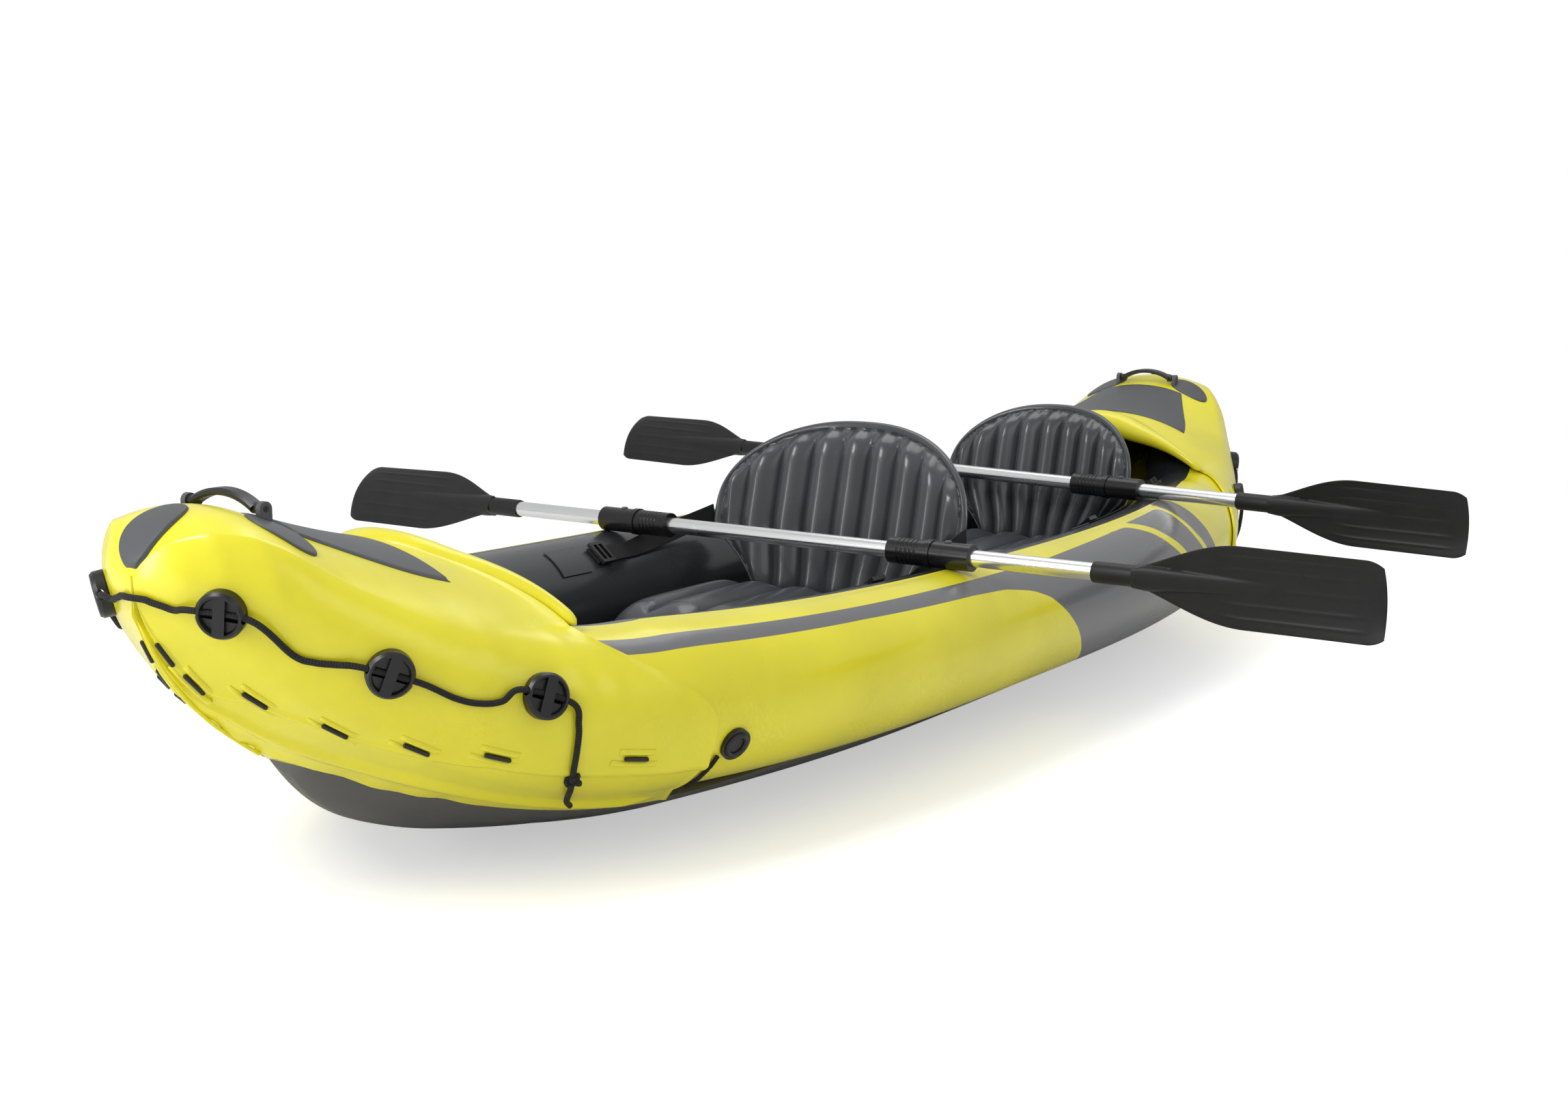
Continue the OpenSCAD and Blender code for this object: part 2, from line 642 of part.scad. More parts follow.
// Stretches of the line between discs, as places on the cover
line_tail = [[428, 2.25], [414, 2.10], [404, 1.98], [395, 1.87], [388, 1.76], [383, 1.64], [381, 1.53]];
line_aft = [[292, 1.41], [268, 1.45], [242, 1.47]];
line_fore = [[126, 1.59], [109, 1.64], [92, 1.66]];
line_nose = [[14, 1.78], [8, 1.82], [3.5, 1.87], [0.5, 1.92]];
nose_lift = 1.2;
function on_cover(list, lift = 0) = [for (p = list) end_point(tip - p[0], p[1], line_o + lift)];
function cover_out(list) = [for (p = list) end_normal(tip - p[0], p[1])];
function disc_out(i) = let (q = line_discs_at[i]) end_axes(q[0], q[1])[2];
function flip(list) = [for (i = [len(list) - 1 : -1 : 0]) [list[i].x, -list[i].y, list[i].z]];
line_half = concat(
    on_cover(line_tail), [disc_mouth(2, -1), disc_mouth(2, 1)], on_cover(line_aft),
    [disc_mouth(1, -1), disc_mouth(1, 1)], on_cover(line_fore), [disc_mouth(0, -1), disc_mouth(0, 1)],
    on_cover(line_nose, nose_lift));
line_half_out = concat(
    cover_out(line_tail), [disc_out(2), disc_out(2)], cover_out(line_aft),
    [disc_out(1), disc_out(1)], cover_out(line_fore), [disc_out(0), disc_out(0)], cover_out(line_nose));
stem_line = let (p = end_point(nose_end(line_o) - 2, 2.6, line_o + nose_lift)) [[p.x, 0, p.z]];

module grab_line() {
    color(black) cord(
        concat(line_half, stem_line, flip(line_half)),
        concat(line_half_out, [[1, 0, 0]], flip(line_half_out)), line_d);
}

module bow_grab_line() grab_line();
module stern_grab_line() mirror([1, 0, 0]) grab_line();

// Lacing cord where it shows between the cover's slots

lace_len = 30;
// Distance from the tip, place on the section and height above the cover
lace_at = [
    [30, 2.72, -0.4], [59, 2.68, -0.5], [100, 2.27, -0.2], [167, 2.08, 0.4], [231, 1.89, 0.1],
    [305, 1.75, -0.4], [466, 1.69, -0.6]];

module lace() {
    r = lace_d / 2;
    rotate([0, 90, 0]) translate([0, 0, -lace_len / 2]) cylinder(r = r, h = lace_len);
    for (e = [-1, 1]) translate([e * lace_len / 2, 0, 0]) sphere(r = r);
}

module cover_lacing() {
    color(black) both_ends() both_sides() for (q = lace_at) let (s = tip - q[0])
        place(end_point(s, q[1], cover_o), end_axes(s, q[1])) translate([0, 0, lace_d / 2 + q[2]]) lace();
}

// Lash rings on the tubes, each with a short cord to the cover's edge

ring_x = tip - 618;
ring_angle = -22;
ring_r = 17;
ring_bar = 4;

module lash_ring() {
    difference() {
        union() {
            translate([0, 0, -4]) cylinder(r = ring_r + 6, h = 9);
            translate([0, 0, 5]) rotate_extrude() translate([ring_r - 2, 0]) circle(r = ring_bar);
        }
        translate([-60, 0, seat_gap - radius(ring_x)]) rotate([0, 90, 0])
            cylinder(r = radius(ring_x), h = 120, $fn = 96);
    }
}

module lash_rings() {
    color(black) both_ends() both_sides()
        place(tube_point(ring_x, ring_angle, 1, 0), tube_axes(ring_x, ring_angle, 1)) lash_ring();
}

lash_d = 6;
lash_route = [[593, -29], [590, -38], [588, -50], [592, -64]];

module lash_cord() {
    o = lash_d / 2 + 1;
    cord(
        [for (q = lash_route) tube_point(tip - q[0], q[1], 1, o)],
        [for (q = lash_route) tube_axes(tip - q[0], q[1], 1)[2]], lash_d);
}

module lash_cords() {
    color(black) both_ends() both_sides() lash_cord();
}

// Air valves

valve_r = 27;
valve_t = 6;
neck_r = 14;
cap_r = 19;
cap_h = 12;
cap_clear = 0.3;
tube_valve_x = rear_seat_x - 180;
tube_valve_angle = 128;
floor_valve_x = rear_seat_x - 115;
floor_valve_lift = 0.8;

// Flange with a raised neck; back_r is the radius of the surface under it, or 0 for a flat one
module valve_body(back_r) {
    difference() {
        union() {
            translate([0, 0, -5]) cylinder(r = valve_r, h = valve_t + 5);
            cylinder(r = neck_r, h = valve_t + cap_h - 3);
        }
        if (back_r > 0)
            translate([-60, 0, seat_gap - back_r]) rotate([0, 90, 0])
                cylinder(r = back_r + 1.5, h = 120, $fn = 96);
        else
            translate([0, 0, -20 + seat_gap]) cylinder(r = 2 * valve_r, h = 20);
        cylinder(r = neck_r - 4, h = 60);
    }
}

// Screw cap with grip ribs, over the neck
module valve_cap() {
    translate([0, 0, valve_t + cap_clear]) difference() {
        union() {
            cylinder(r = cap_r, h = cap_h);
            for (i = [0 : 11]) rotate(30 * i) translate([cap_r, 0, 0]) cylinder(r = 1.5, h = cap_h);
        }
        translate([0, 0, -1]) cylinder(r = neck_r + cap_clear, h = cap_h - 2 + 1);
    }
}

module on_tube_valve(side) {
    place(
        tube_point(tube_valve_x, tube_valve_angle, side, 0),
        tube_axes(tube_valve_x, tube_valve_angle, side))
        children();
}

floor_valve_s = abs(floor_valve_x);
floor_step = floor_top(floor_valve_s - valve_r) - floor_top(floor_valve_s + valve_r);
floor_fall = atan(floor_step / (2 * valve_r));

module on_floor_valve() {
    translate([floor_valve_x, 0, floor_top(floor_valve_s) + floor_valve_lift])
        rotate([0, -floor_fall, 0]) children();
}

module port_valve() color(charcoal) on_tube_valve(1) valve_body(radius(abs(tube_valve_x)));
module starboard_valve() color(charcoal) on_tube_valve(-1) valve_body(radius(abs(tube_valve_x)));
module floor_valve() color(charcoal) on_floor_valve() valve_body(0);
module port_valve_cap() color(black) on_tube_valve(1) valve_cap();
module starboard_valve_cap() color(black) on_tube_valve(-1) valve_cap();
module floor_valve_cap() color(black) on_floor_valve() valve_cap();

// Seats

wall_gap = 10;
cushion_gap = 4;
cushion_rows = 8;
cushion_cols = 20;
cushion_beams = 5;
cushion_rim = 17;

function cushion_half(x) = inner_wall(x) - wall_gap;

// Crowned pad with drawn-in sides and fore-and-aft channels
module seat_cushion(seat_x) {
    base = floor_h + seat_gap;
    rise = cushion_h - 8;
    function place_on(i, j, top) = let (
        u = i / cushion_rows,
        p = 2 * j / cushion_cols - 1,
        x = seat_x + cushion_gap + cushion_len * u,
        draw = 1 - 0.10 * pow(2 * u - 1, 4),
        y = cushion_half(x) * draw * p,
        edge = pow(max(0, 1 - pow(abs(2 * u - 1), 4)), 0.5) * pow(max(0, 1 - pow(abs(p), 4)), 0.5),
        beam = 0.86 + 0.14 * abs(sin(cushion_beams * 90 * (p + 1))))
        [x, y, top ? base + 40 * edge + 18 + (rise - 58) * edge * beam : base + 16 * (1 - edge)];
    color(charcoal) sheet(
        [for (i = [0 : cushion_rows]) [for (j = [0 : cushion_cols]) place_on(i, cushion_cols - j, true)]],
        [for (i = [0 : cushion_rows]) [for (j = [0 : cushion_cols]) place_on(i, cushion_cols - j, false)]]);
}

hinge_z = floor_h + 26;
back_rows = 8;

// A place on a backrest: p runs across, v up, and side is 1 in front
function back_point(seat_x, half_w, back_h, p, v, side) = let (
    low_w = inner_wall(seat_x - back_t) - wall_gap,
    h0 = 150 * smooth((abs(p) - 0.55) / 0.45),
    arch = pow(max(0, 1 - pow(abs(p), 2.3)), 0.5),
    side_h = 205,
    h1 = side_h + (back_h - side_h) * arch,
    h = mix(h0, h1, v),
    fit = mix(low_w, half_w, smooth((h - 60) / 120)),
    edge = pow(max(0, 1 - pow(abs(2 * v - 1), 5)), 0.5) * pow(max(0, 1 - pow(abs(p), 6)), 0.5),
    flute = 0.68 + 0.32 * abs(sin(back_flutes * 90 * (p + 1))),
    d = side * (6 + (back_t / 2 - 6) * edge * flute))
    [seat_x - back_t / 2 + back_bend * p * p + d * cos(back_lean) - h * sin(back_lean),
        fit * p,
        hinge_z + d * sin(back_lean) + h * cos(back_lean)];

module seat_backrest(seat_x, half_w, back_h) {
    cols = 4 * back_flutes;
    function face(side) = [for (i = [0 : back_rows]) [for (j = [0 : cols])
        back_point(seat_x, half_w, back_h, 2 * j / cols - 1, i / back_rows, side)]];
    color(charcoal) sheet(face(1), face(-1));
}

anchor_ahead = 345;
anchor_angle = 130;
strap_v = 0.72;
buckle_t = 7;
front_strap_lie = 150;
rear_strap_lie = 300;
strap_lift = 1.2;
strap_free = 8;

// Port strap from its anchor along the tube, then up to the backrest's edge
function strap_at(x) = tube_point(x, anchor_angle, 1, strap_t / 2 + strap_lift);
function strap_top(seat_x, half_w, back_h) =
    back_point(seat_x, half_w, back_h, 1, strap_v, 0) + [0, strap_t / 2 + 2 * seat_gap, 0];
function strap_route(seat_x, half_w, back_h, lie) = let (
    anchor = seat_x + anchor_ahead,
    b = strap_at(anchor - lie),
    t = strap_top(seat_x, half_w, back_h),
    knee = strap_at(anchor - lie - 35) + [0, 0, 6])
    concat(
        [for (i = [0 : 3]) strap_at(anchor - 40 - i * (lie - 40) / 4)],
        [for (i = [0 : strap_free]) bezier(b, knee, t, i / strap_free)]);
function strap_outs(seat_x) = let (n = tube_axes(seat_x + anchor_ahead, anchor_angle, 1)[2])
    concat(
        [for (i = [0 : 3]) n],
        [for (i = [0 : strap_free]) unit(mix(n, [0, -1, 0.05], smooth(i / strap_free)))]);

module seat_strap(seat_x, half_w, back_h, lie) {
    color(black) strap(strap_route(seat_x, half_w, back_h, lie), strap_outs(seat_x), strap_w, strap_t);
}

module on_anchor(seat_x, side, ahead) {
    x = seat_x + anchor_ahead - ahead;
    place(tube_point(x, anchor_angle, side, 0), tube_axes(x, anchor_angle, side)) children();
}

anchor_l = 78;
anchor_w = 58;
anchor_t = 2;

// Welded patch, bent to the tube
module strap_anchor(x) {
    r = radius(abs(x)) + 2 * seat_gap;
    sweep = anchor_w / r * 57.3;
    translate([-anchor_l / 2, 0, 2 * seat_gap + 0.5 - r]) rotate([90, 0, 90]) rotate(90 - sweep / 2)
        rotate_extrude_arc(r, sweep, anchor_t, anchor_l);
}

// Part of a round wall, standing along Z
module rotate_extrude_arc(r, sweep, t, h) {
    rotate_extrude(angle = sweep, $fn = 96) translate([r, 0]) square([t, h]);
}

module strap_anchors() {
    color(grey) for (seat_x = [front_seat_x, rear_seat_x], side = [-1, 1])
        on_anchor(seat_x, side, -22) strap_anchor(seat_x + anchor_ahead + 22);
}

// Ladder buckle: a frame with a middle bar
module strap_buckle() {
    w = strap_w + 12;
    l = 34;
    translate([-l / 2, -w / 2, strap_t + strap_lift + seat_gap]) difference() {
        cube([l, w, buckle_t]);
        for (x = [6, l / 2 + 2.5]) translate([x, 6, -1]) cube([l / 2 - 8.5, strap_w, buckle_t + 2]);
    }
}

module strap_buckles() {
    color(black) for (seat_x = [front_seat_x, rear_seat_x], side = [-1, 1])
        on_anchor(seat_x, side, 62) strap_buckle();
}

seat_valve_r = 13;

module small_valve() {
    cylinder(r = seat_valve_r, h = 3);
    cylinder(r = 7, h = 9);
}

module cushion_valve(seat_x) {
    x = seat_x + cushion_gap + cushion_len + seat_gap;
    color(black) translate([x, 0, floor_h + cushion_rim]) rotate([0, 90, 0]) small_valve();
}

module backrest_valve(seat_x, half_w, back_h) {
    p = back_point(seat_x, half_w, back_h, 0, 0.5, -1);
    color(black) translate(p) rotate([0, -90 - back_lean, 0]) translate([0, 0, seat_gap]) small_valve();
}

module front_cushion() seat_cushion(front_seat_x);
module front_backrest() seat_backrest(front_seat_x, front_back_w, front_back_h);
module front_strap_port() seat_strap(front_seat_x, front_back_w, front_back_h, front_strap_lie);
module front_strap_starboard()
    mirror([0, 1, 0]) seat_strap(front_seat_x, front_back_w, front_back_h, front_strap_lie);
module front_cushion_valve() cushion_valve(front_seat_x);
module front_backrest_valve() backrest_valve(front_seat_x, front_back_w, front_back_h);
module rear_cushion() seat_cushion(rear_seat_x);
module rear_backrest() seat_backrest(rear_seat_x, rear_back_w, rear_back_h);
module rear_strap_port() seat_strap(rear_seat_x, rear_back_w, rear_back_h, rear_strap_lie);
module rear_strap_starboard()
    mirror([0, 1, 0]) seat_strap(rear_seat_x, rear_back_w, rear_back_h, rear_strap_lie);
module rear_cushion_valve() cushion_valve(rear_seat_x);
module rear_backrest_valve() backrest_valve(rear_seat_x, rear_back_w, rear_back_h);

// Paddles, drawn along Y and then laid across the tubes

shaft_r = shaft_d / 2;
coupler_r = coupler_d / 2;
collar_r = coupler_r + 2;
coupler_out = coupler_in + coupler_len;
coupler_mid = coupler_in + coupler_len / 2;
socket_len = 62;
socket_wall = 3;
blade_in = paddle_len / 2 - blade_len;
rest_gap = 0.4;
coupler_bears = 1.6;
front_paddle_y = 20;
rear_paddle_y = -94;
rear_paddle_turn = -4.1;
shaft_stop = 1;

// Along Y from a to b
module rod(a, b, r) {
    translate([0, a, 0]) rotate([-90, 0, 0]) cylinder(r = r, h = b - a);
}

module pipe(a, b, r, wall) {
    difference() {
        rod(a, b, r);
        rod(a - 1, b + 1, r - wall);
    }
}

module paddle_shaft_mid() {
    color(silver) pipe(-coupler_mid + shaft_stop, coupler_mid - shaft_stop, shaft_r, shaft_wall);
}

// The outer shaft turns in the coupler and is held in the blade's socket
module paddle_shaft_outer() {
    color(silver) pipe(coupler_mid + shaft_stop, blade_in + socket_len - shaft_stop, shaft_r, shaft_wall);
}

button_r = 6;
button_h = 4;
button_travel = 2.5;
button_y = coupler_mid + 30;
button_floor = shaft_r + 2.2;

// Sleeve with end collars and grip grooves, and a pocket for the push button
module paddle_coupler() {
    bore = shaft_r + shaft_clear;
    color(black) difference() {
        union() {
            rod(coupler_in, coupler_out, coupler_r);
            rod(coupler_mid - 5, coupler_mid + 5, collar_r);
        }
        for (y = [coupler_in + 22 : 8 : coupler_mid - 20])
            translate([0, y, 0]) rotate([-90, 0, 0])
                rotate_extrude() translate([coupler_r + 0.6, 0]) circle(r = 2);
        rod(coupler_in - 1, coupler_out + 1, bore);
        translate([0, button_y, button_floor]) cylinder(r = button_r + 0.3, h = coupler_r);
    }
}

module paddle_button() {
    z = button_floor + button_travel + 0.3;
    color(charcoal) translate([0, button_y, z]) {
        cylinder(r = button_r, h = button_h);
        translate([0, 0, button_h]) cylinder(r1 = button_r, r2 = button_r - 1.5, h = 1.5);
    }
}

blade_steps = 10;
blade_points = 6;
blade_edge = 2;
blade_spoon = 14;
spine_len = 0.72;

// Half-width of a blade at u, from the socket's throat to the square end with round corners
function blade_half(u) = blade_w / 2 * (u < 0.45
    ? mix(0.24, 1, pow(sin(90 * u / 0.45), 1.3))
    : (1 - 0.05 * (u - 0.45)) * (u < 0.93 ? 1 : sqrt(1 - 0.28 * pow((u - 0.93) / 0.07, 2))));
function spine_half(u) = (shaft_r + socket_wall) * max(0.12, 1 - pow(u / spine_len, 0.8));

// Cross-section with a raised spine on both faces and a slight spoon
function blade_ring(u, y) = let (
    w = blade_half(u),
    h = spine_half(u),
    xs = [for (i = [-blade_points : blade_points]) i / blade_points],
    bow = function (p) blade_spoon * u * p * p - blade_spoon * 0.5 * u,
    thick = function (p)
        blade_edge + max(0, h - blade_edge) * pow(max(0, 1 - pow(abs(p * w) / (h + 6), 2)), 0.5))
    concat(
        [for (p = xs) [bow(p) - thick(p), y, p * w]],
        [for (i = [len(xs) - 1 : -1 : 0]) let (p = xs[i]) [bow(p) + thick(p), y, p * w]]);

module paddle_blade() {
    start = blade_in + socket_len + 4;
    stop = paddle_len / 2;
    color(black) {
        pipe(blade_in, blade_in + socket_len, shaft_r + socket_wall, socket_wall - shaft_clear);
        rod(blade_in + socket_len, start + 4, shaft_r + socket_wall);
        loft([for (i = [0 : blade_steps]) let (u = i / blade_steps) blade_ring(u, mix(start, stop, u))]);
    }
}

module front_paddle() {
    z = tube_top(front_paddle_x) + coupler_r + rest_gap;
    translate([front_paddle_x, front_paddle_y, z]) children();
}

// The rear paddle lies with its starboard coupler and the end of its port coupler on the tubes
rear_port_x = abs(rear_paddle_x) - 30;
rear_starboard_x = abs(rear_paddle_x) + 18;
rear_port_z = tube_top(rear_port_x) + shaft_r + coupler_bears;
rear_starboard_z = tube_top(rear_starboard_x) + coupler_r + rest_gap;
rear_span = tube_yc(rear_port_x) + tube_yc(rear_starboard_x);
rear_tilt = atan((rear_port_z - rear_starboard_z) / rear_span);
rear_middle_z = mix(rear_starboard_z, rear_port_z, (rear_paddle_y + tube_yc(rear_starboard_x)) / rear_span);

module rear_paddle() {
    translate([rear_paddle_x, rear_paddle_y, rear_middle_z])
        rotate(rear_paddle_turn) rotate([rear_tilt, 0, 0]) children();
}

module to_starboard() {
    rotate(180) children();
}

module front_shaft_mid() front_paddle() paddle_shaft_mid();
module front_shaft_port() front_paddle() paddle_shaft_outer();
module front_shaft_starboard() front_paddle() to_starboard() paddle_shaft_outer();
module front_coupler_port() front_paddle() paddle_coupler();
module front_coupler_starboard() front_paddle() to_starboard() paddle_coupler();
module front_button_port() front_paddle() paddle_button();
module front_button_starboard() front_paddle() to_starboard() paddle_button();
module front_blade_port() front_paddle() rotate([0, -port_feather, 0]) paddle_blade();
module front_blade_starboard()
    front_paddle() to_starboard() rotate([0, starboard_feather, 0]) paddle_blade();
module rear_shaft_mid() rear_paddle() paddle_shaft_mid();
module rear_shaft_port() rear_paddle() paddle_shaft_outer();
module rear_shaft_starboard() rear_paddle() to_starboard() paddle_shaft_outer();
module rear_coupler_port() rear_paddle() paddle_coupler();
module rear_coupler_starboard() rear_paddle() to_starboard() paddle_coupler();
module rear_button_port() rear_paddle() paddle_button();
module rear_button_starboard() rear_paddle() to_starboard() paddle_button();
module rear_blade_port() rear_paddle() rotate([0, -port_feather, 0]) paddle_blade();
module rear_blade_starboard()
    rear_paddle() to_starboard() rotate([0, starboard_feather, 0]) paddle_blade();

port_tube();
starboard_tube();
floor_chamber();
bow_cover();
stern_cover();
bow_splash_roll();
stern_splash_roll();
bow_nose_patch();
stern_nose_patch();
bow_deck_panel();
stern_deck_panel();
handle_patches();
handle_lugs();
bow_handle();
stern_handle();
line_discs();
bow_grab_line();
stern_grab_line();
cover_lacing();
lash_rings();
lash_cords();
strap_anchors();
strap_buckles();
port_valve();
starboard_valve();
floor_valve();
port_valve_cap();
starboard_valve_cap();
floor_valve_cap();
front_cushion();
front_backrest();
front_strap_port();
front_strap_starboard();
front_cushion_valve();
front_backrest_valve();
rear_cushion();
rear_backrest();
rear_strap_port();
rear_strap_starboard();
rear_cushion_valve();
rear_backrest_valve();
front_shaft_mid();
front_shaft_port();
front_shaft_starboard();
front_coupler_port();
front_coupler_starboard();
front_button_port();
front_button_starboard();
front_blade_port();
front_blade_starboard();
rear_shaft_mid();
rear_shaft_port();
rear_shaft_starboard();
rear_coupler_port();
rear_coupler_starboard();
rear_button_port();
rear_button_starboard();
rear_blade_port();
rear_blade_starboard();
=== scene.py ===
"""Looks of an inflatable tandem kayak with two seats and two take-apart paddles.

Shapes are worked out in millimetres in the hull's own frame, with X to the bow, Y to port and Z up,
and go into the meshes in metres.
"""

from __future__ import annotations

import logging
import math
from dataclasses import dataclass, field
from enum import Enum
from itertools import product
from typing import Sequence

import bmesh
import bpy
import numpy as np
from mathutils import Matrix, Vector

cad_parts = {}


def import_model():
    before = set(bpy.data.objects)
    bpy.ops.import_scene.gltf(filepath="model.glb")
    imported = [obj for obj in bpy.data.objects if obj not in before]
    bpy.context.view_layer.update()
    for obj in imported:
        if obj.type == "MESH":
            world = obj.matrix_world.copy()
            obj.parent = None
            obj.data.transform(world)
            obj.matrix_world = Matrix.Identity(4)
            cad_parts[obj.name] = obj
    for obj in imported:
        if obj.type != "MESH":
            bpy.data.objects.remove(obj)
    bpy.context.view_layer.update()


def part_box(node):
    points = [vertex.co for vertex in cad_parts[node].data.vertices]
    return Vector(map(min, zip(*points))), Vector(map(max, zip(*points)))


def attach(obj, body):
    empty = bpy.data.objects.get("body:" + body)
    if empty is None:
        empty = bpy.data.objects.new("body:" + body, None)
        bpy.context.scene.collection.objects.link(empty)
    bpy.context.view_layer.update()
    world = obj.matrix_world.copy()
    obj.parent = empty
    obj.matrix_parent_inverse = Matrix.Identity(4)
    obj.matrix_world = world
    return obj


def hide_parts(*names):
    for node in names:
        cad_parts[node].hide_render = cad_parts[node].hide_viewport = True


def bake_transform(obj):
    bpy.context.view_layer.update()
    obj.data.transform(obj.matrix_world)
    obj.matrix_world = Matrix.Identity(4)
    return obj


LOG = logging.getLogger("kayak")
Array = np.ndarray
Colour = tuple[float, float, float]
Place = tuple[float, float, float]
Route = tuple[tuple[float, float], ...]
MM = 0.001


class Mirror(Enum):
    """A choice that is mirrored, with the sign of its axis as its value."""

    @property
    def label(self) -> str:
        """Its name, as it stands in the names of pieces."""
        return self.name.lower()


class End(Mirror):
    """The two ends of the hull, with the sign of their X."""

    BOW = 1
    STERN = -1


class Side(Mirror):
    """The two sides of the hull, with the sign of their Y."""

    PORT = 1
    STARBOARD = -1


def ramp(x: Array | float) -> Array:
    """Line from 0 to 1, held at both ends."""
    return np.clip(x, 0.0, 1.0)


def smooth(x: Array | float) -> Array:
    """Soft step from 0 to 1: 3t^2 - 2t^3."""
    t = ramp(x)
    return t * t * (3 - 2 * t)


def mix(a: Array | float, b: Array | float, t: Array | float) -> Array:
    """Straight blend from a to b."""
    return a + (b - a) * t


def bump(x: Array | float) -> Array:
    """Bell of height 1 and width about 2: exp(-x^2)."""
    return np.exp(-np.square(x))


def unit(v: Array) -> Array:
    """Vectors along the last axis, made one long."""
    return v / np.maximum(np.linalg.norm(v, axis=-1, keepdims=True), 1e-12)


def turn_about(axis: int, degrees: float) -> Array:
    """Rotation matrix about one of the three axes.

    Args:
        axis: 0, 1 or 2 for X, Y or Z.
        degrees: Angle of the turn, right-handed.

    Returns:
        A 3 by 3 matrix for column vectors.
    """
    c, s = math.cos(math.radians(degrees)), math.sin(math.radians(degrees))
    m = np.eye(3)
    i, j = (axis + 1) % 3, (axis + 2) % 3
    m[i, i] = m[j, j] = c
    m[i, j], m[j, i] = -s, s
    return m


def curve_through(points: Array, per_span: int) -> Array:
    """Smooth curve through points, by Catmull-Rom cubics.

    Args:
        points: The points in order, one a row.
        per_span: Steps between two neighbouring points.

    Returns:
        The points of the curve, one a row.
    """
    p = np.asarray(points, float)
    ends = np.vstack([2 * p[0] - p[1], p, 2 * p[-1] - p[-2]])
    t = (np.arange(per_span) / per_span)[:, None, None]
    a, b, c, d = ends[:-3], ends[1:-2], ends[2:-1], ends[3:]
    square, cube = 2 * a - 5 * b + 4 * c - d, 3 * b - a - 3 * c + d
    spans = 0.5 * (2 * b + (c - a) * t + square * t**2 + cube * t**3)
    return np.vstack([spans.transpose(1, 0, 2).reshape(-1, p.shape[1]), p[-1:]])


def run_along(path: Array) -> Array:
    """Length of a path up to each of its points."""
    return np.append(0, np.cumsum(np.linalg.norm(np.diff(path, axis=0), axis=1)))


def eased(start: float, stop: float, count: int) -> Array:
    """Numbers between two others, closer together towards both: a half-wave of the cosine."""
    return mix(start, stop, 0.5 - 0.5 * np.cos(np.linspace(0, 1, count) * np.pi))


def band_distance(at: Array, path: Array) -> Array:
    """Distance from flat places to a line of straight pieces.

    Args:
        at: Places, with two numbers along the last axis.
        path: Corners of the line, one a row.

    Returns:
        The least distance for each place.
    """
    a, b = path[:-1], path[1:]
    d = b - a
    t = ramp(((at[..., None, :] - a) * d).sum(-1) / np.square(d).sum(-1))
    return np.linalg.norm(at[..., None, :] - (a + t[..., None] * d), axis=-1).min(-1)


